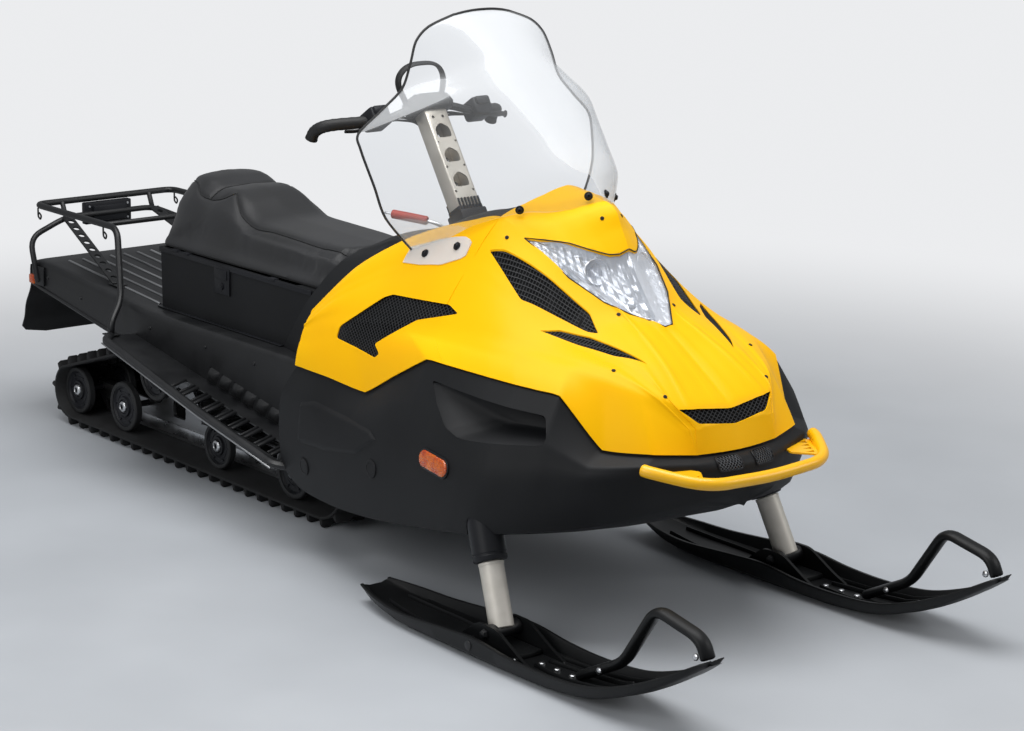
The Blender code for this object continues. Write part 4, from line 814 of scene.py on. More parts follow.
def lamp_outline():
    return both_sides(LAMP_FOOT[:-1] + list(reversed(VISOR_EDGE)))[:-1]


def hood():
    bm = bmesh.new()
    add_both_halves(bm, hood_rows(0, TOP_FIRST_ROW, False))
    add_both_halves(bm, hood_rows(TOP_FIRST_ROW, len(BODY_ROWS) - 1, True))
    add_nose_lip(bm)
    join_halves(bm, lambda p: vec(0.3, p.y * 3, 1))
    obj = to_piece("hood_skin", bm, None, YELLOW, closed=False)
    skin = tree_of(obj)
    shell(obj, 0.003)
    settle(obj)
    cutters = bmesh.new()
    for side in (1, -1):
        add_plate(cutters, in_frame(eased(OPENINGS["side vent"], 0.008)), "Y", side * 0.25, side * 0.47)
        for name, low, high, radius in (("intake", 0.7, 1.02, 0.008), ("slot", 0.6, 0.8, 0.004)):
            outline = eased([(x, y * side) for x, y in OPENINGS[name]], radius)
            add_plate(cutters, in_frame(outline), "Z", low, high)
    add_plate(cutters, eased(OPENINGS["mouth"], 0.006), "X", 1.15, 1.4)
    add_plate(cutters, in_frame(lamp_outline()), "Z", 0.6, 1.2)
    carve(obj, cutters, 34)
    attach(obj, "chassis")
    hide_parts("hood")
    return obj, skin


hood_piece, hood_skin_tree = hood()
print("hood faces:", len(hood_piece.data.polygons))


def on_skin(tree, start, way, out):
    """Where a ray meets a skin, moved outward, with the normal there."""
    hit, normal, _, _ = tree.ray_cast(start + DATUM, way)
    if hit is None:
        return None, None
    normal = normal if normal.dot(way) < 0 else -normal
    return hit - DATUM + normal * out, normal


def on_hood(x, y, out=0.0):
    """The place on the hood's outer face above (x, y) in plan, moved outward, with the normal there."""
    return on_skin(hood_skin_tree, vec(x, y, 1.4), vec(0, 0, -1), out)


def on_flank(x, z, side, out=0.0):
    """The same for a place in side view."""
    tree = hood_skin_tree if z > belt_height(x) else panel_skin_tree
    return on_skin(tree, vec(x, side * 0.8, z), vec(0, -side, 0), out)


def belt_height(x):
    for a, b in zip(lines[3], lines[3][1:]):
        if a.x <= x < b.x:
            return a.z + (b.z - a.z) * (x - a.x) / (b.x - a.x)
    return 0.5


# %% [markdown]
# ## Side panels and nose
# Below the belt the body is black grained plastic. It is one shell round the front: a band that tucks under
# the hood, a bulge at the widest line, and a chine that turns under to the belly. The panel has a long
# scooped recess behind the nose and shallow pressed shapes near the footwell. The recess is cut through
# the shell and lined with a tray, and the pressed shapes are laid over the skin as patches of their own.

# %% Side panels
SHELL_SKIN = 0.004
TUCK = 0.0062
POCKET_RIM = mm([(673, 604), (1052, 586), (1078, 540), (1076, 522), (842, 499),
                 (780, 513), (715, 560)])
POCKET_FLOOR = mm([(735, 598), (1044, 581), (1066, 547), (1062, 541), (930, 541),
                   (892, 549), (830, 572)])


def side_rows():
    rows = []
    for k in range(len(lines[0])):
        belt, wide, chine = lines[3][k], lines[4][k], lines[5][k]
        ahead = lines[3][min(k + 1, len(lines[3]) - 1)] - lines[3][max(k - 1, 0)]
        rise = (lines[2][k] - belt).normalized()
        outward = rise.cross(ahead).normalized()
        outward = outward if outward.y > 0 else -outward
        tucked = belt - outward * TUCK
        sharpen = max(0.0, min(1.0, (k / STEPS - 5.0) / 2.0))
        upper = belt.lerp(wide, 0.55) + vec(0, 0.012 + 0.006 * sharpen, 0)
        low = wide.lerp(chine, 0.5) + vec(0, 0.006, 0)
        points = [tucked + rise * 0.01, tucked - rise * 0.004, upper, wide, low, chine]
        row = rounded_section(points, [0.004, 0.05 - 0.043 * sharpen, 0.03, 0.05], 8, 0.0)
        under = [vec(chine.x, chine.y * s, chine.z - d) for s, d in ((0.9, 0.01), (0.62, 0.02), (0.0, 0.028))]
        rows.append(row + under if k >= 3 * STEPS else row + [row[-1]] * 3)
    return rows


def side_panels():
    bm = bmesh.new()
    rows = side_rows()
    last = rows[-1]
    nose = [
        NOSE_BELT + vec(-0.0078, 0, 0.006), NOSE_BELT + vec(-0.0078, 0, -0.004),
        vec(1.33, 0, 0.488), NOSE_WIDEST, vec(1.35, 0, 0.438), NOSE_CHINE,
    ]
    tip = rounded_section(nose, [0.004, 0.012, 0.012, 0.03], 8, 0.0)
    for t in (0.25, 0.5, 0.75, 1.0):
        ahead = math.sin(t * math.pi / 2)
        rows.append([
            vec(a.x + (b.x - a.x) * ahead, a.y * (1 - t), a.z + (b.z - a.z) * t) for a, b in zip(last, tip)
        ] + [vec(last[-1].x + 0.02 * t, 0, last[-1].z)] * 3)
    add_both_halves(bm, rows)
    join_halves(bm, lambda p: vec(0.2, p.y * 4, 0.1))
    obj = to_piece("side_panels_and_nose", bm, None, PANEL, closed=False)
    skin = tree_of(obj)
    shell(obj, SHELL_SKIN)
    settle(obj)
    cutters = bmesh.new()
    for side in (1, -1):
        add_plate(cutters, in_frame(eased(POCKET_RIM, 0.012)), "Y", side * 0.3, side * 0.56)
        flip = vec(1, side, 1)
        bore(cutters, [(STRUT_LOW + STRUT_UP * up) * flip + DATUM for up in (0.1, 0.46)], 0.0445, 32)
    carve(obj, cutters, 36)
    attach(obj, "chassis")
    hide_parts("lower_body")
    return obj, skin


STRUT_LOW = vec(1.002, 0.482, 0.088)
STRUT_UP = vec(-0.411, -0.103, 0.906).normalized()
panel_piece, panel_skin_tree = side_panels()
print("side panel faces:", len(panel_piece.data.polygons))

# %% [markdown]
# ## Reliefs and pockets
# A pressed shape is laid over the skin as a fine patch of its own. The patch lies between two border lines,
# and its height rises from just under the skin at the border to its full height inside, along a smooth
# slope. That needs far fewer faces than a fine grid over the whole panel.

# %% Pressed shapes


def resampled(points, count):
    points = [Vector(p) for p in points]
    marks = [0.0]
    for a, b in zip(points, points[1:]):
        marks.append(marks[-1] + (b - a).length)
    made = []
    for k in range(count + 1):
        at = marks[-1] * k / count
        i = max(j for j in range(len(points) - 1) if marks[j] <= at + 1e-9)
        made.append(points[i].lerp(points[i + 1], (at - marks[i]) / max(1e-9, marks[i + 1] - marks[i])))
    return made


def ease(t):
    t = max(0.0, min(1.0, t))
    return t * t * (3 - 2 * t)


def pressed_rows(low, high, nu, nv, place, height, slope, sunk=0.0008):
    """Rows of a patch between two border lines, raised inside by height."""
    low, high = resampled(low, nu), resampled(high, nu)
    long = sum((b - a).length for a, b in zip(low, low[1:]))
    rows = []
    for k, (a, b) in enumerate(zip(low, high)):
        row = []
        for m in range(nv + 1):
            p = a.lerp(b, m / nv)
            border = min(min(m, nv - m) / nv * (b - a).length, min(k, nu - k) / nu * long)
            row.append(place(p, height * ease(border / slope) - sunk)[0])
        rows.append(row)
    return rows


def softened(outline):
    """A closed outline in short steps, with its corners worn round."""
    loop = [Vector(a).lerp(Vector(b), k / 10) for a, b in zip(outline, outline[1:] + outline[:1]) for k in range(10)]
    for _ in range(3):
        loop = [(loop[n - 1] + p * 2 + loop[(n + 1) % len(loop)]) / 4 for n, p in enumerate(loop)]
    return loop


def pockets():
    """Deep moulded pockets behind the nose, each a tray between its rim and its floor."""
    bm = bmesh.new()
    for side in (1, -1):
        rim, floor = softened(POCKET_RIM), softened(POCKET_FLOOR)
        rows = []
        for t in (0.0, 0.1, 0.3, 0.55, 0.8, 0.93, 1.0):
            row = []
            for a, b in zip(rim, floor):
                p = a.lerp(b, t * t * 0.25 + t * 0.75)
                start, _ = on_flank(a.x, a.y, side, -0.0005)
                end = vec(b.x, side * pocket_floor_y(b.x), b.y)
                row.append(vec(p.x, start.lerp(end, ease(t) * 0.6 + t * 0.4).y, p.y))
            rows.append(row)
        grid = add_grid(bm, rows, closed_ring=True)
        cap(bm, grid[-1])
    bmesh.ops.recalc_face_normals(bm, faces=bm.faces)
    to_piece("panel_pockets", bm, "chassis", PANEL, sharp=50, closed=False)


def pocket_floor_y(x):
    """The pocket's floor leans in toward the nose."""
    return 0.44 - 0.3 * max(0.0, x - 0.75) - 0.012


def reliefs():
    bm = bmesh.new()
    for side in (1, -1):
        def place(p, out, side=side):
            return on_flank(p.x, p.y, side, out)
        arrow_low = mm([(108, 322), (260, 332), (412, 360), (500, 417)])
        arrow_high = mm([(120, 436), (185, 452), (465, 440), (502, 421)])
        add_grid(bm, pressed_rows(arrow_low, arrow_high, 60, 24, place, 0.007, 0.014))
        for x, z, r in ((0.139, 0.262, 0.024), (0.487, 0.342, 0.024)):
            centre, normal = on_flank(x, z, side, -0.002)
            profile = [(0.0, r), (0.004, r), (0.0055, r - 0.0015), (0.0058, r * 0.72), (0.0048, r * 0.68), (0.0048, 0)]
            add_lathe(bm, profile, centre, normal, 36)
    to_piece("panel_reliefs", bm, "chassis", PANEL, sharp=40)


pockets()
reliefs()
print("pockets and reliefs done")

# %% [markdown]
# ## Meshes behind the openings
# Every opening is backed by a woven wire mesh a few millimetres under the skin. The mesh is a net of
# diagonal lines clipped to the opening's outline and laid on the surface, and Geometry Nodes turns each line
# into a wire. A bump map would be cheaper, but it would not let the dark inside show through.

# %% Meshes


def spans_inside(outline, start, direction):
    """Parts of a line that lie inside a flat outline, as pairs of distances."""
    cuts = []
    for a, b in zip(outline, outline[1:] + outline[:1]):
        edge = Vector(b) - Vector(a)
        across = direction.x * edge.y - direction.y * edge.x
        if abs(across) < 1e-12:
            continue
        gap = Vector(a) - start
        t = (gap.x * edge.y - gap.y * edge.x) / across
        s = (gap.x * direction.y - gap.y * direction.x) / across
        if 0 <= s < 1:
            cuts.append(t)
    cuts.sort()
    return list(zip(cuts[0::2], cuts[1::2]))


def net(outline, place, pitch, angles, step=0.012):
    """Points and edges of a net of parallel lines at some angles inside an outline."""
    points, edges = [], []
    reach = max((Vector(p) - Vector(outline[0])).length for p in outline) * 1.5
    for degrees in angles:
        direction = vec(math.cos(math.radians(degrees)), math.sin(math.radians(degrees)))
        across = vec(-direction.y, direction.x)
        for k in range(-int(reach / pitch), int(reach / pitch) + 1):
            start = Vector(outline[0]) + across * (k * pitch)
            for t0, t1 in spans_inside(outline, start, direction):
                count = max(1, int((t1 - t0) / step))
                made = [place(start + direction * (t0 + (t1 - t0) * i / count)) for i in range(count + 1)]
                made = [p for p in made if p is not None]
                edges += [(len(points) + i, len(points) + i + 1) for i in range(len(made) - 1)]
                points += made
    return points, edges


def wires(name, nets, radius, finish):
    points, edges = [], []
    for some_points, some_edges in nets:
        edges += [(a + len(points), b + len(points)) for a, b in some_edges]
        points += [p + DATUM for p in some_points]
    mesh = bpy.data.meshes.new(name)
    mesh.from_pydata(points, edges, [])
    obj = new_object(mesh)
    run_tree(obj, WIRING, {"Wire radius": radius, "Finish": finish})
    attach(obj, "chassis")
    print(name, "has", len(edges), "wire pieces and", len(obj.data.polygons), "faces")


def hood_meshes():
    mesh_nets, slat_nets = [], []
    for side in (1, -1):
        mesh_nets.append(net(
            OPENINGS["side vent"], lambda p, side=side: on_flank(p.x, p.y, side, -0.0042)[0], 0.0085, (38, 142)))
        for nets, name, out, pitch, angles in (
                (mesh_nets, "intake", -0.0042, 0.0085, (20, 110)), (slat_nets, "slot", -0.0036, 0.0075, (90,)),
                (slat_nets, "slot", -0.0048, 0.014, (-28 * side,))):
            nets.append(net([(x, y * side) for x, y in OPENINGS[name]],
                            lambda p, out=out: on_hood(p.x, p.y, out)[0], pitch, angles))
    mesh_nets.append(net(OPENINGS["mouth"], mouth_point, 0.0085, (35, 145)))
    wires("vent_meshes", mesh_nets, 0.0011, GRILLE)
    wires("slot_slats", slat_nets, 0.0014, GRILLE)


def mouth_point(p, back=0.0045):
    """The place behind the mouth that lies straight behind a point of the front view."""
    hit, _, _, _ = hood_skin_tree.ray_cast(vec(1.6, p.x, p.y), vec(-1, 0, 0))
    return hit - DATUM - vec(back, 0, back * 0.4) if hit else None


GRILLE = grained_black("black_wire_mesh", ("2A2B2D", "38393B"), (0.34, 0.46), 0.001, 0.00005)
hood_meshes()

# %% [markdown]
# ## Headlight
# The lamp fills the space between the visor's edge and the hood's middle. A clear cover follows the hood's
# surface 2 mm lower. Behind it lie two deep bowls with vertical facets, which are pressed and then plated,
# so that they throw the light forward in strips. Between them the plated tray is ribbed in the same way.

# %% Headlight


def lamp_patch(out, nu, nv, waves=None):
    """Rows of a patch that fills the lamp's opening, moved out from the hood's surface."""
    low, high = (resampled([(x, -y) for x, y in reversed(half)] + half[1:], nu) for half in (LAMP_FOOT, VISOR_EDGE))
    middle = (low[nu // 2] + high[nu // 2]) / 2
    rows = []
    for k, (a, b) in enumerate(zip(low, high)):
        row = []
        for m in range(nv + 1):
            p = middle + (a.lerp(b, m / nv) - middle) * 0.997
            depth = out + (waves(k / nu, m / nv) if waves else 0.0)
            row.append(on_hood(p.x, p.y, depth)[0])
        rows.append(row)
    return rows


def facets(u, v):
    """Depth of the plated tray: two bowls with strips, shallow at the rim."""
    rim = min(1.0, min(u, 1 - u) * 7, min(v, 1 - v) * 5 + 0.12)
    bowl = max(0.0, 1 - ((abs(u - 0.5) - 0.21) / 0.17) ** 2)
    strip = 0.0042 * abs(((u * 26) % 1.0) - 0.5) * 2
    cross = 0.003 * abs(((v * 4 + u * 7) % 1.0) - 0.5) * 2
    return -(0.004 + 0.008 * bowl + strip + cross) * ease(rim)


def headlight():
    bm = bmesh.new()
    add_grid(bm, lamp_patch(-0.0022, 72, 14))
    bmesh.ops.recalc_face_normals(bm, faces=bm.faces)
    face_toward(bm, lambda p: vec(0.4, 0, 1))
    glass = to_piece("headlight_cover", bm, None, LAMP_GLASS, closed=False)
    shell(glass, 0.0022)
    settle(glass)
    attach(glass, "chassis")
    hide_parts("headlight_lens")
    bm = bmesh.new()
    add_grid(bm, lamp_patch(-0.006, 208, 32, facets))
    face_toward(bm, lambda p: vec(0.4, 0, 1))
    to_piece("plated_tray", bm, "chassis", CHROME, sharp=18, closed=False)
    bm = bmesh.new()
    for side in (1, -1):
        centre, normal = on_hood(0.872, side * 0.088, -0.026)
        aim = (normal + vec(0.9, 0, 0.1)).normalized()
        ring = [(-0.012, 0.016), (0.004, 0.03), (0.016, 0.034), (0.018, 0.0325), (0.006, 0.028), (-0.006, 0.016)]
        add_lathe(bm, ring, centre, aim, 40, 0)
        dome = [(-0.006, 0.0185)] + [(0.018 * math.sin(a), 0.0185 * math.cos(a)) for a in (0.2, 0.5, 0.8, 1.1, 1.4)]
        add_lathe(bm, dome + [(0.0185, 0.0)], centre, aim, 40, 1)
        centre, normal = on_hood(0.965, side * 0.04, -0.02)
        add_lathe(bm, [(0.0, 0.013), (0.007, 0.012), (0.009, 0.009), (0.009, 0.0)], centre, normal, 24, 0)
    to_piece("lamp_rings_and_bulbs", bm, "chassis", CHROME, LAMP_GLASS)
    bm = bmesh.new()
    gasket = [on_hood(x, y, 0.0006)[0] for x, y in lamp_outline()]
    add_tube(bm, gasket + gasket[:1], 0.0016, 6, domed=False)
    to_piece("lamp_gasket", bm, "chassis", TRIM)


headlight()
print("headlight done")

# %% [markdown]
# ## Windshield
# A blown sheet of polycarbonate stands on the hood and wraps round the driver's hands. Its table runs from
# the foot to the top, with one row for each height, and both directions are smoothed. A black rubber
# edging follows the free border, and black bolts with rubber washers hold the foot.

# %% Windshield
SCREEN_FOOT = mm([
    (800.4, 0, 1024.7), (762, 48.6, 1007.8), (713.2, 98.9, 995.2), (660.4, 155.9, 990.9),
    (575.4, 223.9, 955.9), (473.4, 239.6, 905), (356.6, 261.5, 856),
])
SCREEN_TABLE = mm([
    # centre x, centre z, edge x, edge y, edge z
    (745, 1092, 340, 335, 945), (655, 1168, 335, 368, 1030),
    (560, 1248, 305, 388, 1120), (520, 1282, 290, 385, 1160),
    (480, 1318, 300, 320, 1215), (435, 1356, 310, 262, 1268),
    (390, 1392, 310, 236, 1330), (350, 1424, 302, 212, 1385),
    (322, 1446, 300, 170, 1420), (310, 1457, 303, 90, 1447),
])


def screen_rows():
    rows = [[Vector(p) for p in SCREEN_FOOT]]
    for xc, zc, xe, ye, ze in SCREEN_TABLE:
        row = []
        for k in range(7):
            s = k / 6
            bend = s**2.2
            row.append(vec(xc + (xe - xc) * bend, ye * s, zc + (ze - zc) * bend))
        rows.append(row)
    columns = [curve_through([row[k] for row in rows], 6, 0.85) for k in range(7)]
    return [curve_through([column[i] for column in columns], 5) for i in range(len(columns[0]))]


def windshield(rows):
    bm = bmesh.new()
    add_both_halves(bm, rows)
    join_halves(bm, lambda p: vec(1, 0, 1))
    obj = to_piece("windshield_sheet", bm, None, SCREEN, sharp=60, closed=False)
    shell(obj, 0.003, 1.0)
    settle(obj, 60)
    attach(obj, "chassis")
    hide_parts("windshield")
    side = [row[-1] + vec(0, 0, 0.0015) for row in rows]
    top = [p + vec(0.001, 0, 0.001) for p in reversed(rows[-1])]
    path = side + top[1:]
    path += mirrored(path[-2::-1])
    bm = bmesh.new()
    add_tube(bm, path, 0.0034, 10)
    to_piece("windshield_edging", bm, "chassis", GRIP)


def screen_flanges():
    """The windshield's foot, which lies flat on each flank of the hood."""
    upper = mm([(350, 256), (446, 241), (542, 233), (570, 237), (588, 246)])
    lower = mm([(350, 285), (420, 286), (500, 281), (560, 266), (588, 252)])
    bm = bmesh.new()
    for side in (1, -1):
        rows = []
        for t in range(17):
            high, low = resampled(upper, 17)[t], resampled(lower, 17)[t]
            row = []
            for k in range(7):
                p = high.lerp(low, k / 6)
                place, normal = on_hood(p.x, p.y * side)
                row.append(place + normal * 0.0032)
            rows.append(row)
        add_grid(bm, rows)
    face_toward(bm, lambda p: vec(0, p.y, 0.5))
    obj = to_piece("windshield_flanges", bm, None, FROSTED, closed=False)
    shell(obj, 0.0026, -1.0)
    settle(obj, 60)
    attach(obj, "chassis")


def bolt_item(radius, height):
    """A round headed bolt on a wide washer, standing on the origin along Z."""
    bm = bmesh.new()
    add_lathe(bm, [(-0.001, radius * 1.5), (0.0016, radius * 1.5), (0.002, radius * 1.36), (0.002, radius)],
              (0, 0, 0), (0, 0, 1), 16)
    dome = [(0.0018, radius), (height * 0.6, radius * 0.96), (height * 0.9, radius * 0.7), (height, radius * 0.45)]
    dome += [(height, radius * 0.42), (height * 0.5, radius * 0.36)]
    add_lathe(bm, dome, (0, 0, 0), (0, 0, 1), 12)
    return loose_object(bm, "item")


def spots_on_hood(places, out=0.0):
    """Places for bolts on both sides of the hood, each with its direction."""
    made = []
    for x, y in places:
        for side in (1, -1):
            place, normal = on_hood(x, y * side)
            made.append((place + normal * out, normal, (1, 0, 0)))
    return made


FLANGE_BOLTS = mm([(422, 267), (531, 250)])
HOOD_SCREWS = mm([(664, 200), (830, 32), (966, 92), (1104, 228), (1222, 168)])
screen = screen_rows()
windshield(screen)
screen_flanges()
screen_bolts = []
for x, y, z in ((0.668, 0.178, 0.995), (0.8, 0.045, 1.045)):
    for side in (1, -1):
        _, j, i = min(((p - vec(x, y, z)).length, j, i) for j, row in enumerate(screen[:9]) for i, p in enumerate(row))
        row = screen[j]
        near = row[i]
        i, j = min(max(i, 1), len(row) - 2), min(max(j, 1), len(screen) - 2)
        normal = (row[i + 1] - row[i - 1]).cross(screen[j + 1][i] - screen[j - 1][i]).normalized()
        normal = normal if normal.x + normal.z > 0 else -normal
        flip = vec(1, side, 1)
        screen_bolts.append(((near + normal * 0.003) * flip, normal * flip, (1, 0, 0)))
screen_bolts += spots_on_hood(FLANGE_BOLTS, 0.004)
repeat("windshield_bolts", "chassis", screen_bolts, bolt_item(0.0074, 0.0075), TRIM)
repeat("hood_screws", "chassis", spots_on_hood(HOOD_SCREWS), bolt_item(0.0034, 0.003), TRIM)

# %% [markdown]
# ## Seat
# The seat is a foam block under tight vinyl: a rear bump, a bolster before it and a flat front. The foam is
# lofted from its sections a few millimetres too small. Then the cover is blown up with a little pressure by
# the Cloth simulation, so that it swells between its edges as a stretched cover does. The seams are laid
# afterwards: the skin is drawn in along each line, and a thin cord follows it.

# %% Seat foam
SEAT_BASE = 0.6556
SEAT_TOP = [
    # station, half width low, half width top, height of the top, forward lean of the section
    (-0.942, 0.2, 0.09, 0.842, 0.0), (-0.934, 0.21, 0.098, 0.858, 0.0), (-0.9, 0.212, 0.104, 0.868, 0.0),
    (-0.84, 0.212, 0.106, 0.864, 0.0), (-0.8, 0.212, 0.106, 0.85, 0.0), (-0.775, 0.212, 0.106, 0.842, 0.0),
    (-0.735, 0.212, 0.108, 0.845, 0.0), (-0.69, 0.212, 0.108, 0.842, 0.0), (-0.645, 0.212, 0.114, 0.824, 0.0),
    (-0.6, 0.211, 0.124, 0.795, 0.0), (-0.545, 0.21, 0.134, 0.774, 0.0), (-0.43, 0.208, 0.137, 0.769, 0.0),
    (-0.3, 0.204, 0.136, 0.766, 0.0), (-0.18, 0.202, 0.132, 0.764, 0.4), (-0.07, 0.2, 0.128, 0.766, 0.79),
]
SEAT_SHRINK = 0.004


def seat_section(x, low, top, height, lean, shrink=0.0):
    low, top, height = low - shrink, top - shrink, height - shrink
    knee = SEAT_BASE + (height - SEAT_BASE) * 0.55
    half = [
        vec(0, SEAT_BASE), vec(low - 0.008, SEAT_BASE), vec(low, SEAT_BASE + 0.012),
        vec(low * 0.72 + top * 0.28, knee - 0.03), vec(low * 0.45 + top * 0.55 + 0.008, knee + 0.022),
        vec(top + 0.024, height - 0.034), vec(top * 0.93, height - 0.004), vec(0, height + 0.001),
    ]
    return rounded_section([(x - lean * (height - p.y), p.x, p.y) for p in half],
                           [0.004, 0.006, 0.05, 0.05, 0.03, 0.035], 4)


def seat_grid(shrink=0.0):
    profiles = curve_through([(row[0], row[3], row[2]) for row in SEAT_TOP], 5)
    others = curve_through([(row[0], row[1], row[4]) for row in SEAT_TOP], 5, 0.5)
    rows = []
    for a, b in zip(profiles, others):
        half = seat_section(a.x, b.y, a.z, a.y, b.z, shrink)
        rows.append(half + mirrored(half[-2:0:-1]))
    return rows


def blown(obj, frames=20, cap_m=0.009):
    """Blows the cover up with the Cloth simulation and keeps the result, with the foot held."""
    start = [v.co.copy() for v in obj.data.vertices]
    step = obj.modifiers.new("cover", "CLOTH")
    settings = step.settings
    settings.use_pressure = True
    settings.uniform_pressure_force = 4.0
    settings.quality = 4
    settings.mass = 0.4
    settings.effector_weights.gravity = 0.0
    step.point_cache.frame_end = frames
    scene = bpy.context.scene
    for frame_number in range(1, frames + 1):
        scene.frame_set(frame_number)
    settle(obj, 60)
    for vert, was in zip(obj.data.vertices, start):
        move = vert.co - was
        if move.length > cap_m:
            move *= cap_m / move.length
        vert.co = was + move * ease((was.z - SEAT_BASE - 0.004) / 0.035)
    scene.frame_set(1)


def seat():
    bm = bmesh.new()
    add_loft(bm, seat_grid(SEAT_SHRINK))
    obj = to_piece("seat_cushion", bm, None, VINYL, sharp=60)
    step = obj.modifiers.new("even faces", "REMESH")
    step.mode = "VOXEL"
    step.voxel_size = 0.009
    settle(obj, 60)
    blown(obj)
    step = obj.modifiers.new("smooth skin", "SUBSURF")
    step.levels = step.render_levels = 1
    settle(obj, 60)
    obj.data.materials.clear()
    obj.data.materials.append(VINYL)
    print("seat cushion faces:", len(obj.data.polygons))
    return obj


SEAT_SEAMS = mm([
    # lines on the right half, carried over to the left, as station, half width, height, and the cord's radius
    ([(-701, 97, 838), (-659, 121, 811), (-617, 132, 783), (-548, 134, 762),
      (-463, 129, 763), (-372, 129, 760), (-267, 129, 755), (-197, 126, 756),
      (-129, 122, 758), (-82, 120, 760)], 1.7),
    ([(-936, 98, 846), (-884, 116, 846), (-832, 136, 820), (-790, 133, 812),
      (-735, 124, 820), (-701, 97, 838)], 1.5),
    ([(-790, 133, 812), (-784, 100, 835), (-778, 50, 842), (-776, 0.1, 843)], 1.5),
])


def seat_seams(obj):
    """Draws the skin in along the seams and lays a cord in each."""
    skin = tree_of(obj)
    bm = bmesh.new()
    near = []
    for points, radius in SEAT_SEAMS:
        for side in (1, -1):
            line = []
            for p in curve_through([(x, y * side, z) for x, y, z in points], 10):
                place, normal, _, _ = skin.find_nearest(p + DATUM)
                line.append(place - normal * 0.0022 - DATUM)
                near.append(place)
            add_tube(bm, line, radius, 8)
    finder = KDTree(len(near))
    for i, p in enumerate(near):
        finder.insert(p, i)
    finder.balance()
    for vert, normal in zip(obj.data.vertices, [v.normal.copy() for v in obj.data.vertices]):
        gap = finder.find(vert.co)[2]
        if gap < 0.03:
            vert.co -= normal * 0.0036 * math.exp(-(gap / 0.0075) ** 2)
    to_piece("seat_seams", bm, "seat_body", SEAM_CORD)


SEAM_CORD = rubber("black_seam_cord", ("0E0F10", "151617"), (0.6, 0.7))
cushion = seat()
seat_seams(cushion)
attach(cushion, "seat_body")
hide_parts("seat")

# %% [markdown]
# ## Seat box and console
# The box under the seat is folded sheet with a rim, a base flange and a push latch with its key. The console
# is one moulding: it rises from the footwells, wraps the seat's nose and carries the steering post.

# %% Seat box and console
CONSOLE = [
    # station, lean, half width and height of the foot, belt, shoulder and top
    (-0.0425, 0.79, 0.214, 0.4705, 0.222, 0.633, 0.17, 0.76, 0.092, 0.79),
    (0.066, 0.0, 0.272, 0.4705, 0.29, 0.64, 0.192, 0.785, 0.112, 0.832),
    (0.12, 0.0, 0.272, 0.4705, 0.29, 0.69, 0.188, 0.812, 0.116, 0.846),
    (0.2, 0.0, 0.265, 0.4705, 0.25, 0.775, 0.186, 0.826, 0.116, 0.848),
    (0.3, 0.0, 0.24, 0.4705, 0.212, 0.842, 0.176, 0.868, 0.12, 0.892),
    (0.42, 0.0, 0.22, 0.62, 0.182, 0.89, 0.152, 0.917, 0.115, 0.945),
    (0.6, 0.0, 0.18, 0.66, 0.155, 0.935, 0.132, 0.957, 0.098, 0.97),
]
COLUMN_BASE = vec(0.25, 0, 0.915)
COLUMN_TOP = vec(0.089, 0, 1.163)
POST_UP = (COLUMN_TOP - COLUMN_BASE).normalized()
POST_SIDE = vec(0, 1, 0)
POST_AHEAD = POST_SIDE.cross(POST_UP).normalized()


def console():
    keys = []
    for x, lean, *outline in CONSOLE:
        half = list(zip(outline[0::2], outline[1::2]))
        top = outline[-1]
        keys.append([vec(x - lean * (top - z), y, z) for y, z in half] + [vec(x, 0, top + 0.004)])
    columns = [curve_through([key[i] for key in keys], 7, 0.55) for i in range(5)]
    rows = []
    for points in zip(*columns):
        half = rounded_section(points, [0.05, 0.035, 0.022], 5, 0.003)
        rows.append(half + mirrored(half[-2::-1]))
    bm = bmesh.new()
    add_loft(bm, rows)
    obj = to_piece("console_moulding", bm, None, PANEL, sharp=45)
    cutters = bmesh.new()
    bore(cutters, [COLUMN_BASE + DATUM + POST_UP * up for up in (0.03, -0.125)], 0.016, 28)
    carve(obj, cutters, 45)
    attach(obj, "chassis")
    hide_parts("console")
    bm = bmesh.new()
    add_box(bm, (-0.052, -0.215, 0.4715), (0.04, 0.215, 0.4745), edge=0.001)
    skin = tree_of(obj)
    for side in (1, -1):
        for x, z in ((0.12, 0.62), (0.21, 0.56)):
            hit, _, _, _ = skin.ray_cast(vec(x, side * 0.6, z) + DATUM, vec(0, -side, 0))
            add_lathe(bm, [(0, 0.009), (0.002, 0.0085), (0.0028, 0.006), (0.0022, 0.0)], hit - DATUM,
                      (0, side, 0.1), 20)
    add_tube(bm, [(0.16, 0.06, 0.846), (0.163, 0.06, 0.868)], 0.017, 28)
    to_piece("console_flange_and_caps", bm, "chassis", TRIM)


SEAT_BOX_RIMS = mm([
    # stations, middle and half width, heights, edge
    (-944, -163, 211.5, 2.5, 639.5, 654, 1.2), (-944, -300, 216.5, 6, 471.5, 474.5, 0.8),
    (-945.5, -940.5, 0, 212, 639.5, 654, 1.2), (-950, -938, 0, 205, 471.5, 474.5, 0.8),
])


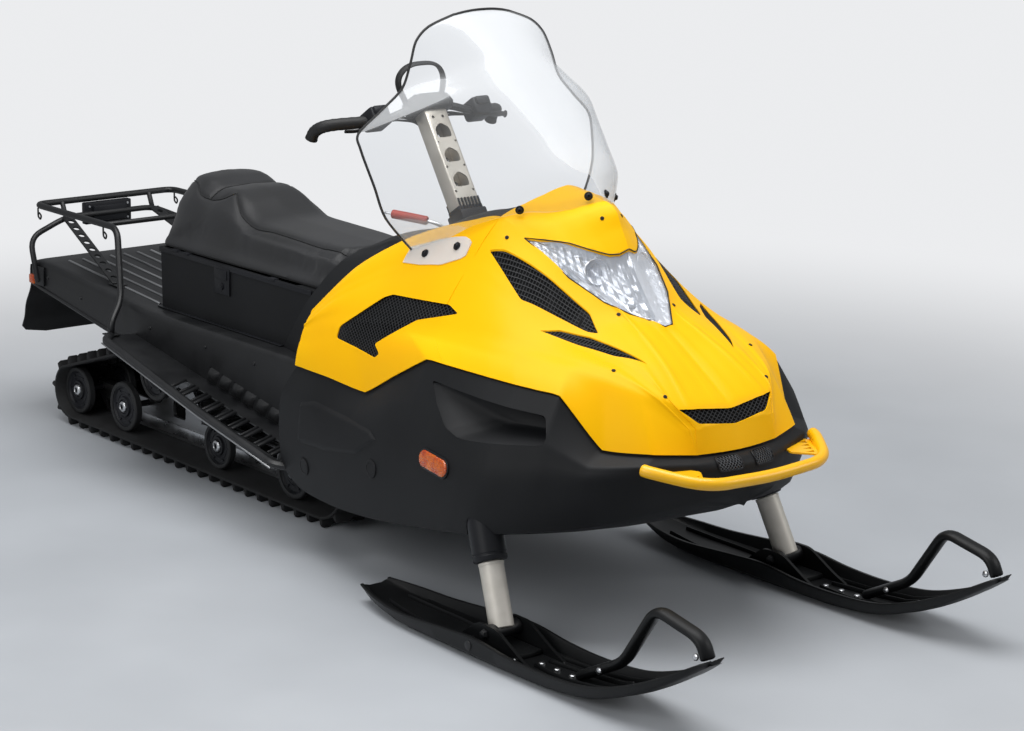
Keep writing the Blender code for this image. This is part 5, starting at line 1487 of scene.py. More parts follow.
def seat_box_parts():
    bm = bmesh.new()
    for x0, x1, y, wide, z0, z1, edge in SEAT_BOX_RIMS:
        for side in (1, -1) if y else (1,):
            add_box(bm, (x0, side * y - wide, z0), (x1, side * y + wide, z1), edge=edge)
    for x in (-0.86, -0.8, -0.355):
        add_box(bm, (x - 0.016, -0.2165, 0.65), (x + 0.016, -0.198, 0.6575), edge=0.002)
    to_piece("seat_box_rims", bm, "chassis", TRIM)
    bm = bmesh.new()
    add_box(bm, (-0.645, -0.216, 0.566), (-0.567, -0.2104, 0.648), edge=0.003)
    add_box(bm, (-0.636, -0.2195, 0.612), (-0.576, -0.215, 0.64), edge=0.003)
    add_lathe(bm, [(0.0, 0.011), (0.004, 0.0105), (0.005, 0.008), (0.004, 0.0)], (-0.606, -0.2155, 0.59), (0, -1, 0))
    latch = to_piece("latch_plate", bm, "chassis", TRIM)
    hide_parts("seat_latch")
    bm = bmesh.new()
    add_lathe(bm, [(0.0, 0.006), (0.0052, 0.0058), (0.0056, 0.0045), (0.0056, 0.0)], (-0.606, -0.2165, 0.59),
              (0, -1, 0), 24)
    to_piece("latch_key_barrel", bm, "chassis", DARK_STEEL)


console()
seat_box_parts()
print("seat, box and console done")

# %% [markdown]
# ## Steering
# The post is an aluminium box section with three windows, on a ribbed foot and under a rubber pad. The bar
# is a steel tube bent in one plane, with rubber grips and a switch pod on each side. These pieces ride on
# the steering body, so that all of them turn with the post.

# %% Steering post and bar
POST_LENGTH = (COLUMN_TOP - COLUMN_BASE).length
POST_TURN = Matrix((POST_SIDE, POST_AHEAD, POST_UP)).transposed()
WINDOW_PITCH = 0.072
BAR = mm([
    (-30, -306, 1098), (-14, -302, 1124), (22, -282, 1141), (67, -200, 1149),
    (88, -140, 1156), (90, -70, 1174),
])


def post_place(side, up, ahead):
    return COLUMN_BASE + POST_SIDE * side + POST_UP * up + POST_AHEAD * ahead


def post_block(bm, centre, half, edge):
    """A box square to the post, its centre given along side, up and ahead."""
    block(bm, post_place(*centre), half, 0, edge, POST_TURN)


def bore_post(cutters, side, up, radius):
    bore(cutters, [post_place(side, up, ahead) + DATUM for ahead in (-0.05, 0.05)], radius, 14)


def steering_post():
    bm = bmesh.new()
    post_block(bm, (0.0, POST_LENGTH / 2, 0.0), (0.0372, 0.0252, POST_LENGTH / 2), 0.005)
    obj = to_piece("post_section", bm, None, SILVER)
    cutters = bmesh.new()
    shape = eased(mm([(-20, -24), (8, -24), (24, 0), (8, 24), (-20, 24)]), 0.009)
    for k in range(3):
        add_loft(cutters, [[post_place(p.y, 0.085 + k * WINDOW_PITCH + p.x, ahead) + DATUM for p in shape]
                           for ahead in (-0.05, 0.05)])
        for side in (-0.029, 0.029):
            bore_post(cutters, side, 0.052 + k * WINDOW_PITCH, 0.0035)
    for side in (-0.016, 0.016):
        bore_post(cutters, side, POST_LENGTH - 0.026, 0.0045)
    hollow = bmesh.new()
    add_loft(hollow, [[post_place(a * 0.033, up, b * 0.021) + DATUM for a, b in ((-1, -1), (1, -1), (1, 1), (-1, 1))]
                      for up in (0.003, POST_LENGTH - 0.003)])
    carve(obj, hollow, 35)
    carve(obj, cutters, 35)
    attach(obj, "steering")
    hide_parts("steering_column")
    bm = bmesh.new()
    post_block(bm, (0.0, -0.0155, 0.0), (0.044, 0.034, 0.0145), 0.005)
    for k in range(7):
        for ahead in (0.0275, -0.0275):
            post_block(bm, (-0.033 + 0.011 * k, 0.012, ahead), (0.0022, 0.0022, 0.02), 0.001)
    post_block(bm, (0.0, 0.004, 0.0), (0.0395, 0.0275, 0.007), 0.003)
    bore(bm, [post_place(0, up, 0) for up in (-0.015, -0.108)], 0.0138, 28)
    foot = to_piece("post_foot", bm, "steering", TRIM)
    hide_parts("column_foot")


def steering_bar():
    centre = COLUMN_TOP + POST_UP * 0.0215
    right = curve_through(BAR + [(centre.x, 0.0, centre.z)], 8)
    bm = bmesh.new()
    add_tube(bm, right + mirrored(right[-2::-1]), 0.0108, 20)
    obj = to_piece("steering_bar", bm, "steering", COATED)
    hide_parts("handlebar")
    bm = bmesh.new()
    add_loft(bm, pad_sections())
    post_block(bm, (0.0, POST_LENGTH + 0.045, -0.006), (0.044, 0.022, 0.0035), 0.003)
    post_block(bm, (0.0, POST_LENGTH + 0.004, 0.0), (0.046, 0.031, 0.004), 0.002)
    to_piece("bar_pad", bm, "steering", PANEL, sharp=30)
    bm = bmesh.new()
    for sign in (-1, 1):
        grip = [p * vec(1, -sign, 1) for p in right[:27]]
        radii = [0.0172] * 2 + [0.0158, 0.0166] * 11 + [0.0158] + [0.0178] * 2
        add_tube(bm, grip, radii, 24)
    to_piece("rubber_grips", bm, "steering", GRIP, sharp=70)


def pad_sections():
    """The moulded pad over the clamp: facets above, a waist below."""
    made = []
    for up, wide, deep in ((-0.004, 0.054, 0.032), (0.003, 0.068, 0.04), (0.02, 0.073, 0.043),
                           (0.034, 0.068, 0.04), (0.043, 0.054, 0.03)):
        made.append([post_place(a * wide, POST_LENGTH + up, b * deep) for a, b in (
            (-1, -0.45), (-0.72, -1), (0.72, -1), (1, -0.45), (1, 0.5), (0.66, 1), (-0.66, 1), (-1, 0.5))])
    return made


def control_pods():
    for sign, word in reversed(SIDES):
        bm = bmesh.new()
        for shift, half, edge in (
                ((0, 0, 0), (0.031, 0.033, 0.027), 0.011), ((0, 0.004, 0.012), (0.024, 0.036, 0.013), 0.008),
                ((sign * 0.006, -0.03, 0.002), (0.01, 0.01, 0.007), 0.004),
                ((-sign * 0.012, -0.031, 0.009), (0.006, 0.008, 0.006), 0.003)):
            block(bm, vec(0.078, sign * 0.172, 1.156) + POST_TURN @ Vector(shift), half, 0, edge, POST_TURN)
        pod = to_piece("switch_pod_" + word, bm, "steering", TRIM)
        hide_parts("control_pod_" + word)
    bm = bmesh.new()
    # Brake lever before the left grip, thumb throttle under the right one
    lever = mm([(98, 150, 1150), (110, 176, 1150), (100, 215, 1142), (74, 262, 1136),
                (52, 293, 1130)])
    add_tube(bm, curve_through(lever, 5), [0.0062] * 14 + [0.0058, 0.0056, 0.0056, 0.0056, 0.006, 0.008, 0.0085], 12,
             scale=(0.75, 1.25))
    thumb = mm([(62, -150, 1140), (40, -168, 1126), (18, -196, 1118), (6, -222, 1118)])
    add_tube(bm, curve_through(thumb, 5), 0.0062, 12, scale=(1.5, 0.7))
    to_piece("brake_and_throttle_levers", bm, "steering", COATED)
    bm = bmesh.new()
    hoop = rounded_path([(0.062, -0.052, 1.176), (0.045, -0.084, 1.245), (0.052, -0.05, 1.29),
                         (0.052, 0.05, 1.29), (0.045, 0.084, 1.245), (0.062, 0.052, 1.176)], 0.04, 7)
    add_tube(bm, hoop, 0.0066, 14, scale=(0.8, 1.8))
    strap = to_piece("strap", bm, "steering", GRIP)
    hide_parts("strap_hoop")
    bm = bmesh.new()
    for sign in (1, -1):
        for k, down in enumerate((0.012, 0.023)):
            low = [post_place(down * sign, up, -0.03) for up in (POST_LENGTH - 0.03, POST_LENGTH / 2, 0.035)]
            path = [(0.062, 0.14 * sign, 1.142), (0.055, 0.075 * sign, 1.15 - 0.008 * k)] + low
            add_tube(bm, curve_through(path, 8), 0.0036 - 0.0006 * k, 10)
    to_piece("control_cables", bm, "steering", GRIP)


def shift_lever():
    path = rounded_path([(0.29, -0.1, 0.88), (0.286, -0.118, 0.899), (0.245, -0.142, 0.909)], 0.015, 5)
    bm = bmesh.new()
    add_tube(bm, path, 0.005, 14)
    add_tube(bm, [(0.172, -0.184, 0.9165), (0.15, -0.196, 0.9185)], 0.0028, 10)
    to_piece("shift_rod", bm, "chassis", ZINC)
    bm = bmesh.new()
    add_tube(bm, curve_through([(0.258, -0.135, 0.906), (0.215, -0.159, 0.9115), (0.168, -0.186, 0.917)], 6), 0.012, 18)
    grip = to_piece("shift_grip", bm, "chassis", LEVER_RED)
    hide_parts("shift_lever")


steering_post()
steering_bar()
control_pods()
shift_lever()
print("steering done")

# %% [markdown]
# ## Track and wheels
# The track runs round four circles: rear idler, carrier wheel, the bend of the rails and the sprocket. Its
# belt is an even ribbon along that path. The lugs are moulded in rows of three and rows of two by turns, so
# that each row covers the gaps of the last, and the placing tree sets them down pitch by pitch.

# %% Track
CIRCLES = mm([(-1440, 110, 77), (-985, 250, 82), (-90, 150, 117), (120, 310, 85)])
LUG_ROWS = 60


def track_path(steps=720):
    made = []
    for way in ring_of(lambda angle: vec(math.cos(angle), 0.0, math.sin(angle)), steps):
        x, z, r = max(CIRCLES, key=lambda c: c[0] * way.x + c[1] * way.z + c[2])
        point = vec(x, 0, z) + way * r
        if not made or (point - made[-1]).length > 0.0004:
            made.append(point)
    return made + [made[0]]


def lug_item(wide, hollow):
    """A paddle across the belt: broad foot, narrow rounded crest and a small hollow in its face."""
    bm = bmesh.new()
    rows = []
    for share, slim, crest, top in (
            (0.5, 0.75, 0.0039, 0.019), (0.46, 1.0, 0.0065, 0.0245), (0.3, 1.0, 0.0065, 0.0245),
            (0.24, 1.0, 0.00533, 0.0245 - hollow)):
        half = [(-0.0115 * slim, -0.001), (-0.0085 * slim, 0.007), (-crest, top - 0.003), (-crest * 0.6, top)]
        rows.append([vec(x, -share * wide, z) for x, z in half + [(-x, z) for x, z in reversed(half)]])
    rows += [mirrored(row) for row in reversed(rows)]
    add_loft(bm, rows)
    return loose_object(bm, "item")


def track_axes(before, after):
    """Along the track and out of it."""
    along = (after - before).normalized()
    return along, vec(along.z, 0, -along.x)


def track():
    path = track_path()
    dense = resampled(path, 420)[:-1]
    section = [(-0.2485, 0.0), (-0.25, 0.0015), (-0.25, 0.0065), (-0.2485, 0.008)]
    section += [(-y, level) for y, level in reversed(section)]
    rings = []
    for before, p, after in zip(dense[-1:] + dense, dense, dense[1:] + dense[:1]):
        _, out = track_axes(before, after)
        rings.append([p + out * level + vec(0, y, 0) for y, level in section])
    bm = bmesh.new()
    add_grid(bm, rings + rings[:1], closed_ring=True)
    belt = to_piece("track_belt", bm, "chassis", RUBBER, sharp=50)
    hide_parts("track")
    marks = resampled(path, LUG_ROWS * 2)
    threes, twos, guides = [], [], []
    for k in range(LUG_ROWS):
        p, before, after = marks[2 * k + 1], marks[2 * k], marks[2 * k + 2]
        along, out = track_axes(before, after)
        rows = threes if k % 2 else twos
        for y in ((-0.172, 0.0, 0.172) if k % 2 else (-0.128, 0.128)):
            rows.append((p + out * 0.008 + vec(0, y, 0), out, along))
        for y in (-0.091, 0.091):
            guides.append((p - out * 0.0005 + vec(0, y, 0), -out, along))
    repeat("lugs_in_threes", "chassis", threes, lug_item(0.15, 0.006), RUBBER)
    repeat("lugs_in_twos", "chassis", twos, lug_item(0.236, 0.009), RUBBER)
    bm = bmesh.new()
    add_box(bm, (-0.012, -0.01, -0.001), (0.012, 0.01, 0.012), edge=0.003)
    repeat("drive_lugs_inside", "chassis", guides, loose_object(bm, "item"), RUBBER)


track()

# %% Wheels and rails
WHEELS = [
    # node, station, height, radius, distances from the middle
    ("rear_idlers", -1.44, 0.1105, 0.077, (0.205, 0.055)),
    ("second_idlers", -1.165, 0.1135, 0.08, (0.205,)),
    ("third_idlers", -0.64, 0.1055, 0.072, (0.205,)),
    ("fourth_idlers", -0.255, 0.1135, 0.08, (0.205,)),
    ("carrier_wheels", -0.985, 0.25, 0.082, (0.205,)),
]


COIL_TURNS = 7


def wheels():
    hubs = bmesh.new()
    for node, x, z, size, offsets in WHEELS:
        bm = bmesh.new()
        add_tube(bm, [(x, -0.222, z), (x, 0.222, z)], 0.0098, 20)
        r = size - 0.0025
        for offset in offsets:
            for face in (1, -1):
                y = offset * face
                half = [(-0.0105, r * 0.82), (-0.0118, r * 0.86), (-0.0118, r * 0.96), (-0.0085, r)]
                tyre = half + [(-out, height) for out, height in reversed(half)] + [(0.0, r * 0.81), half[0]]
                add_lathe(bm, tyre, (x, y, z), (0, face, 0), 48, 1)
                disc = [(-0.008, 0.012), (-0.008, r * 0.36), (-0.003, r * 0.44), (-0.004, r * 0.72), (-0.009, r * 0.78),
                        (-0.0085, r * 0.835), (0.0085, r * 0.835), (0.009, r * 0.78), (0.004, r * 0.73),
                        (0.0035, r * 0.6), (0.0048, r * 0.585), (0.0048, r * 0.52), (0.003, r * 0.5),
                        (0.004, r * 0.42), (0.01, r * 0.39), (0.0105, r * 0.3), (0.007, r * 0.28), (0.008, 0.012)]
                add_lathe(bm, disc, (x, y, z), (0, face, 0), 48, 0)
                for k in range(6):
                    turn = Matrix.Rotation(math.radians(60 * k), 3, "Y")
                    middle = vec(x, y + face * 0.0045, z) + turn @ vec(r * 0.66, 0, 0)
                    block(bm, middle, (r * 0.05, 0.0025, 0.002), 0, 0.0008, turn)
                if offset > 0.1:
                    cap_line = [(0.004, 0.0185), (0.013, 0.018), (0.0165, 0.015), (0.0175, 0.01), (0.015, 0.008),
                                (0.015, 0.0)]
                    add_lathe(hubs, cap_line, (x, y, z), (0, face, 0), 32, 0)
                    for way in (45, 135):
                        block(hubs, (x, y + face * 0.0158, z), (0.0078, 0.0012, 0.0014), 1,
                              turn=Matrix.Rotation(math.radians(way), 3, "Y"))
        piece = to_piece(node + "_dressed", bm, "chassis", TRIM, TYRE)
        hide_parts(node)
    to_piece("hub_caps", hubs, "chassis", ZINC, DARK_STEEL)


def rails():
    bottom = 0.0338
    for side, word in SIDES:
        y = side * 0.12
        outline = [(-1.405, bottom), (-0.092, bottom)]
        for radius, angles in ((0.1155, (12, 24, 36, 48)), (0.072, (44, 24, 4))):
            outline += [(-0.09 + radius * math.sin(math.radians(a)), 0.15 - radius * math.cos(math.radians(a)))
                        for a in angles]
        outline += [(-0.22, 0.132), (-0.855, 0.132), (-0.961, 0.272), (-1.009, 0.272), (-1.085, 0.132),
                    (-1.462, 0.132), (-1.462, 0.092)]
        bm = bmesh.new()
        add_plate(bm, in_frame(outline), "Y", y - 0.0055, y + 0.0055)
        rail = to_piece("rail_" + word, bm, None, RAIL, shift=False)
        cutters = bmesh.new()
        for x, z, r in [(-1.44, 0.1105, 0.0105), (-1.165, 0.1135, 0.0105), (-0.64, 0.1055, 0.0105),
                        (-0.255, 0.1135, 0.0105), (-0.985, 0.25, 0.0105), (-0.985, 0.18, 0.018)] + [
                            (-1.33 + 0.18 * k, 0.062, 0.007) for k in range(6)]:
            bore(cutters, [(x + DATUM.x, y + off, z) for off in (-0.02, 0.02)], r)
        for x0, x1 in ((-1.37, -1.25), (-0.82, -0.72), (-0.56, -0.46), (-0.44, -0.33), (-1.02, -0.95)):
            low, high = (0.088, 0.122) if x1 != -0.95 else (0.1, 0.15)
            loop = eased([(x0, low), (x1, low), (x1, high), (x0, high)], 0.01)
            add_plate(cutters, in_frame(loop), "Y", y - 0.02, y + 0.02)
        carve(rail, cutters, 35)
        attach(rail, "chassis")
        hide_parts("slide_rail_" + word)
        bm = bmesh.new()
        for x0, x1 in ((-1.455, -1.09), (-0.85, -0.225)):
            add_box(bm, (x0, y - 0.011, 0.1275), (x1, y + 0.011, 0.1325), edge=0.0012)
        add_box(bm, (-0.83, y + side * 0.006, 0.12), (-0.7, y + side * 0.024, 0.15), edge=0.002)
        to_piece("rail_flanges_" + word, bm, "chassis", COATED)
        # A bright zinc strip low on each rail is a painted reflection: it stands for the floor's light mirrored along
        # the rail's lower part.
        bm = bmesh.new()
        low, high = sorted((y + side * 0.0052, y + side * 0.01))
        add_box(bm, (-1.405, low, 0.044), (-0.11, high, 0.078), edge=0.0012)
        to_piece("rail_wear_strip_" + word, bm, "chassis", ZINC)
    bm = bmesh.new()
    for x0, z0, x1, z1 in ((-0.3, 0.1, -0.13, 0.29), (-0.72, 0.1, -0.6, 0.28)):
        low, high = vec(x0, 0, z0), vec(x1, 0, z1)
        way = (high - low).normalized()
        add_tube(bm, [low, low.lerp(high, 0.55)], 0.019, 20, slot=1)
        add_tube(bm, [low, high], 0.007, 16, slot=1)
        across = vec(0, 1, 0)
        up = way.cross(across)
        coil = []
        for k in range(COIL_TURNS * 16 + 1):
            angle = 2 * math.pi * k / 16
            centre = low.lerp(high, 0.12 + 0.78 * k / (COIL_TURNS * 16))
            coil.append(centre + (across * math.cos(angle) + up * math.sin(angle)) * 0.031)
        add_tube(bm, coil, 0.0048, 8)
    to_piece("shocks_and_springs", bm, "chassis", COATED, DARK_STEEL, sharp=60)


wheels()
rails()
print("wheels and rails done")

# %% [markdown]
# ## Tunnel, running boards and rack
# The tunnel is one bent steel sheet, so its long edges are bends with a radius and never knife edges. Ribs are
# rolled along the rear deck. Each running board is a pressed ladder: slanted slats between an inner wall
# with pressed toe holds and a broad outer rim, whose lower edge is worn bright.

# %% Tunnel and deck
TUNNEL_TOP = mm([(340, 470), (-930, 470), (-1560, 520), (-1590, 512), (-1600, 496)])
TUNNEL_LOW = mm([(340, 196), (30, 196), (-985, 340), (-1040, 352), (-1560, 425),
                 (-1590, 432), (-1600, 442)])


def level_at(line, x):
    for (x1, z1), (x2, z2) in zip(line, line[1:]):
        if x2 <= x <= x1:
            return z1 + (z2 - z1) * (x - x1) / (x2 - x1)
    return line[-1][1]


def tunnel():
    stations = sorted({0.34, 0.03, -0.93, -0.985, -1.04, -1.56, -1.572, -1.582, -1.59, -1.596, -1.6}
                      | {0.3 - 0.1 * k for k in range(19)}, reverse=True)
    rows = []
    for x in stations:
        top, low = level_at(TUNNEL_TOP, x), level_at(TUNNEL_LOW, x)
        half = [vec(x, 0, top), vec(x, 0.25, top)]
        half += [vec(x, 0.26 + 0.018 * math.sin(a), top - 0.018 + 0.018 * math.cos(a))
                 for a in (math.radians(degrees) for degrees in (15, 30, 45, 60, 75))]
        half += [vec(x, 0.278, top - 0.019), vec(x, 0.278, low)]
        rows.append(mirrored(half[:0:-1]) + half)
    bm = bmesh.new()
    add_grid(bm, rows)
    bmesh.ops.recalc_face_normals(bm, faces=bm.faces)
    face_toward(bm, lambda p: vec(0, p.y * 3, 1))
    obj = to_piece("tunnel_sheet", bm, None, COATED, closed=False)
    shell(obj, 0.0035)
    settle(obj)
    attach(obj, "chassis")
    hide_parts("tunnel")
    bm = bmesh.new()
    for k in range(9):
        y = -0.2 + 0.05 * k
        path = [(x, y, level_at(TUNNEL_TOP, x) + 0.0008) for x in (-0.965, -1.1, -1.3, -1.5)]
        add_tube(bm, path, 0.0042, 8, scale=(1.3, 0.75))
    to_piece("deck_ribs", bm, "chassis", RAIL, sharp=50)
    bm = bmesh.new()
    for side in (1, -1):
        for x0, x1 in ((-0.985, -1.04), (-1.04, -1.595)):
            add_tube(bm, [(x, side * 0.2785, level_at(TUNNEL_LOW, x) + 0.002) for x in (x0, x1)], 0.0052, 10,
                     scale=(0.8, 1.2))
        holes = mm([(-1500, 470), (-1300, 440), (-1120, 415), (-900, 420), (-600, 420), (-350, 420)])
        for x, z in holes:
            add_lathe(bm, [(0, 0.006), (0.002, 0.0055), (0.0025, 0.0035), (0.0025, 0)], (x, side * 0.278, z),
                      (0, side, 0), 14)
    to_piece("tunnel_hems_and_rivets", bm, "chassis", COATED, sharp=50)


def board_level(x):
    return 0.222 - 0.164 * (x - 0.03)


def toe_hold_point(k, side, along, up):
    """A point of the k-th pressed cushion on the boards' inner wall, given by shares of its length and height."""
    x = -0.098 - 0.062 * k + 0.05 * along + 0.02 * up
    out = 0.013 * (math.sin(math.pi * up) * math.sin(math.pi * along)) ** 0.6 - 0.0004
    return vec(x, side * (0.2784 + out), board_level(x) + 0.004 + 0.042 * up)


def running_boards():
    for side, word in SIDES:
        outline = [(0.14, 0.2784), (-0.985, 0.2784), (-1.0, 0.36), (-0.965, 0.392), (-0.4, 0.428),
                   (-0.01, 0.44), (0.015, 0.404), (0.14, 0.4)]
        bm = bmesh.new()
        add_loft(bm, [[vec(x, side * y, board_level(x) - drop) for x, y in outline] for drop in (0.0005, 0.0045)])
        board = to_piece("board_" + word, bm, None, COATED)
        cutters = bmesh.new()
        lips = bmesh.new()
        for k in range(9):
            x = -0.075 - 0.0645 * k
            slant = 0.03
            spots = [(x - 0.023, 0.335), (x + 0.023, 0.335), (x + 0.023 + slant, 0.412), (x - 0.023 + slant, 0.412)]
            add_loft(cutters, [[vec(p.x, side * p.y, board_level(p.x) + up) + DATUM for p in eased(spots, 0.006)]
                               for up in (-0.03, 0.03)])
            for ends in (spots[::3], spots[1:3]):
                add_tube(lips, [(x, side * y, board_level(x) + 0.0015) for x, y in ends], 0.0034, 6, scale=(0.7, 1.3))
        carve(board, cutters, 35)
        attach(board, "chassis")
        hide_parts("running_board_" + word)
        rim = mm([(-992, 356), (-965, 392), (-400, 431), (-12, 443), (18, 404), (100, 402)])
        path = rounded_path([(x, side * y, board_level(x) + 0.002) for x, y in rim], 0.02, 3)
        add_tube(lips, path, 0.012, 8, scale=(1.15, 1.0))
        to_piece("board_rim_and_lips_" + word, lips, "chassis", COATED, sharp=45)
        edge = bmesh.new()
        path = [(x, side * (y + 0.0125), board_level(x) - 0.0055) for x, y in rim[1:4]]
        add_tube(edge, path, 0.0026, 8)
        to_piece("board_worn_edge_" + word, edge, "chassis", RAIL)
    bm = bmesh.new()
    for side in (1, -1):
        for k in range(9):
            add_grid(bm, [[toe_hold_point(k, side, along / 8, up / 8) for along in range(9)] for up in range(9)])
        face_toward(bm, lambda p, side=side: vec(0, p.y, 0))
    to_piece("toe_holds", bm, "chassis", COATED, sharp=60)


tunnel()
running_boards()
print("tunnel and boards done")

# %% Rack, lamps and flap
RACK_FEET = mm([
    # stations, middle and half width, heights, edge
    (-1215, -1165, 210, 20, 493.2, 496.5, 1), (-1022, -978, 350, 19, 390.5, 394.5, 1),
    (-1580, -1515, 283, 3, 440, 500, 1.2),
])
TIE_HOOK = mm([(0, 676), (0, 648), (14, 640), (20, 654), (6, 662)])


def across_both(half, radius, steps=6):
    """A bent tube's path, given up to the middle and carried on to the other side."""
    return rounded_path(half + [(x, -y, z) for x, y, z in reversed(half)], radius, steps)


def cargo_rack():
    top = 0.685
    frame_path = across_both([(-1.0, -0.35, 0.3955), (-1.0, -0.35, 0.43), (-1.036, -0.2925, 0.484),
                              (-1.118, -0.252, top), (-1.61, -0.252, top)], 0.038)
    hoop = across_both([(-1.545, -0.2876, 0.45), (-1.588, -0.2876, 0.585), (-1.58, -0.16, 0.64)], 0.042)
    bm = bmesh.new()
    add_tube(bm, frame_path, 0.01, 16)
    add_tube(bm, hoop, 0.009, 16)
    add_tube(bm, [(-1.19, -0.252, top), (-1.19, 0.252, top)], 0.008, 14)
    for side in (1, -1):
        add_tube(bm, [(-1.585, side * 0.16, 0.64), (-1.605, side * 0.16, top)], 0.008, 14)
        for x0, x1, y, wide, z0, z1, edge in RACK_FEET:
            add_box(bm, (x0, side * y - wide, z0), (x1, side * y + wide, z1), edge=edge)
        for x in (-1.596, -1.2):
            hook = [(x + ahead, side * 0.252, z) for ahead, z in TIE_HOOK]
            add_tube(bm, rounded_path(hook, 0.006, 3), 0.0028, 8)
    rack = to_piece("rack_tubes", bm, "chassis", COATED, sharp=50)
    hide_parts("cargo_rack")
    for side, word in SIDES:
        foot = vec(-1.19, side * 0.21, 0.497)
        head = vec(-1.575, side * 0.16, 0.64)
        along = (head - foot).normalized()
        across = (vec(0, 1, 0) - along * along.y).normalized()
        way = along.cross(across)
        bm = bmesh.new()
        block(bm, (foot + head) / 2, (0.018, 0.0028, (head - foot).length / 2), 0, 0.001,
              Matrix((across, way, along)).transposed())
        brace = to_piece("pierced_brace_" + word, bm, None, COATED)
        cutters = bmesh.new()
        for k in range(9):
            at = foot.lerp(head, 0.08 + 0.105 * k) + DATUM
            bore(cutters, [at - way * 0.02, at + way * 0.02], 0.0105, 16)
        carve(brace, cutters, 35)
        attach(brace, "chassis")


def tail_lamp():
    bm = bmesh.new()
    add_box(bm, (-1.6145, -0.085, 0.604), (-1.5895, 0.085, 0.674), 0, 0.004)
    add_box(bm, (-1.5895, -0.06, 0.615), (-1.576, 0.06, 0.664), 0, 0.003)
    for y in (-0.07, 0.07):
        for z in (0.616, 0.662):
            add_lathe(bm, [(0, 0.004), (0.0018, 0.0036), (0.002, 0)], (-1.589, y, z), (1, 0, 0), 12, 1)
    lamp = to_piece("tail_lamp_housing", bm, "chassis", TRIM, ZINC)
    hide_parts("tail_light")
    bm = bmesh.new()
    add_box(bm, (-1.6235, -0.078, 0.61), (-1.615, 0.078, 0.668), 0, 0.0035)
    for y in (-0.026, 0.026):
        add_box(bm, (-1.6242, y - 0.0012, 0.612), (-1.6228, y + 0.0012, 0.666), 0, 0.0004)
    lens = to_piece("tail_lamp_lens", bm, "chassis", RED)
    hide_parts("tail_lens")
    for side, word in SIDES:
        bm = bmesh.new()
        low, high = sorted((side * 0.2784, side * 0.292))
        add_box(bm, (-1.598, low, 0.44), (-1.566, high, 0.47), 0, 0.005)
        lens = to_piece("rear_side_lens_" + word, bm, "chassis", AMBER)
        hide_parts("rear_marker_" + word)


def flap():
    rows = []
    for k in range(17):
        z = 0.496 - 0.25 * k / 16
        lean = 0.62 * max(0.0, 0.438 - z) ** 1.05 + 0.004 * math.sin(k * 0.9)
        half = 0.2775 - 0.0115 * ease((0.43 - z) / 0.155)
        if z < 0.285:
            t = (0.285 - z) / 0.039
            half -= 0.1 * (1 - math.sqrt(max(0.0, 1 - min(1.0, t) ** 2)))
        rows.append([vec(-1.6035 - lean - 0.003 * math.cos(math.pi * m / 16), half * (m / 8 - 1), z)
                     for m in range(17)])
    bm = bmesh.new()
    add_grid(bm, rows)
    obj = to_piece("flap_sheet", bm, None, RUBBER, closed=False)
    shell(obj, 0.005, 0.0)
    settle(obj)
    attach(obj, "chassis")
    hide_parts("snow_flap")
    bm = bmesh.new()
    add_box(bm, (-1.6125, -0.262, 0.473), (-1.6085, 0.262, 0.493), 0, 0.001)
    for k in range(7):
        add_lathe(bm, [(0, 0.0062), (0.003, 0.0055), (0.0036, 0)], (-1.612, -0.24 + 0.08 * k, 0.483), (-1, 0, 0), 14, 1)
    to_piece("flap_strip_and_screws", bm, "chassis", COATED, ZINC)
    bm = bmesh.new()
    add_box(bm, (-1.655, -0.04, 0.432), (-1.607, 0.04, 0.44), 0, 0.002)
    add_box(bm, (-1.655, -0.04, 0.482), (-1.607, 0.04, 0.49), 0, 0.002)
    add_box(bm, (-1.617, -0.04, 0.436), (-1.607, 0.04, 0.486), 0, 0.001)
    add_tube(bm, [(-1.64, 0.0, 0.428), (-1.64, 0.0, 0.5)], 0.0075, 16, slot=1)
    hitch = to_piece("hitch_clevis", bm, "chassis", DARK_STEEL, ZINC)
    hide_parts("hitch")


cargo_rack()
tail_lamp()
flap()
print("rack, lamps and flap done")

# %% [markdown]
# ## Skis and legs
# Each ski is moulded in one piece with rolled walls, a keel, ribs inside and a thick carrying loop at its
# tip. The walls stand highest round the leg, where the load is. The saddle's cheeks carry the ski on one
# pin, and the leg's tube is painted in the warm silver of the steering post.

# %% Skis
SKI_TABLE = [
    # station, share of the half width, floor height, wall height, keel depth
    (0.5, 0.5, 0.033, 0.016, 0.002), (0.6, 0.78, 0.017, 0.026, 0.004), (0.72, 0.93, 0.009, 0.032, 0.008),
    (0.9, 0.98, 0.0085, 0.046, 0.0083), (1.02, 1.0, 0.0085, 0.052, 0.0083), (1.15, 1.0, 0.0085, 0.04, 0.0083),
    (1.28, 0.98, 0.0105, 0.036, 0.0103), (1.42, 0.95, 0.027, 0.032, 0.01), (1.54, 0.84, 0.068, 0.028, 0.006),
    (1.64, 0.66, 0.12, 0.022, 0.004), (1.722, 0.42, 0.172, 0.016, 0.002), (1.745, 0.24, 0.188, 0.012, 0.001),
]
SKI_Y = 0.482
PIN = vec(1.014, SKI_Y, 0.062)
CHEEK_Y = 0.046
CHEEK = mm([(880, 12), (1200, 12), (1140, 36), (1050, 84), (980, 84), (925, 42)])
BOLT_HEAD = mm([(0, 8.5), (4, 8), (6, 5), (6, 0)])


def ski_floor(x):
    for a, b in zip(SKI_TABLE, SKI_TABLE[1:]):
        if a[0] <= x <= b[0]:
            return a[2] + (b[2] - a[2]) * (x - a[0]) / (b[0] - a[0])
    return 0.01


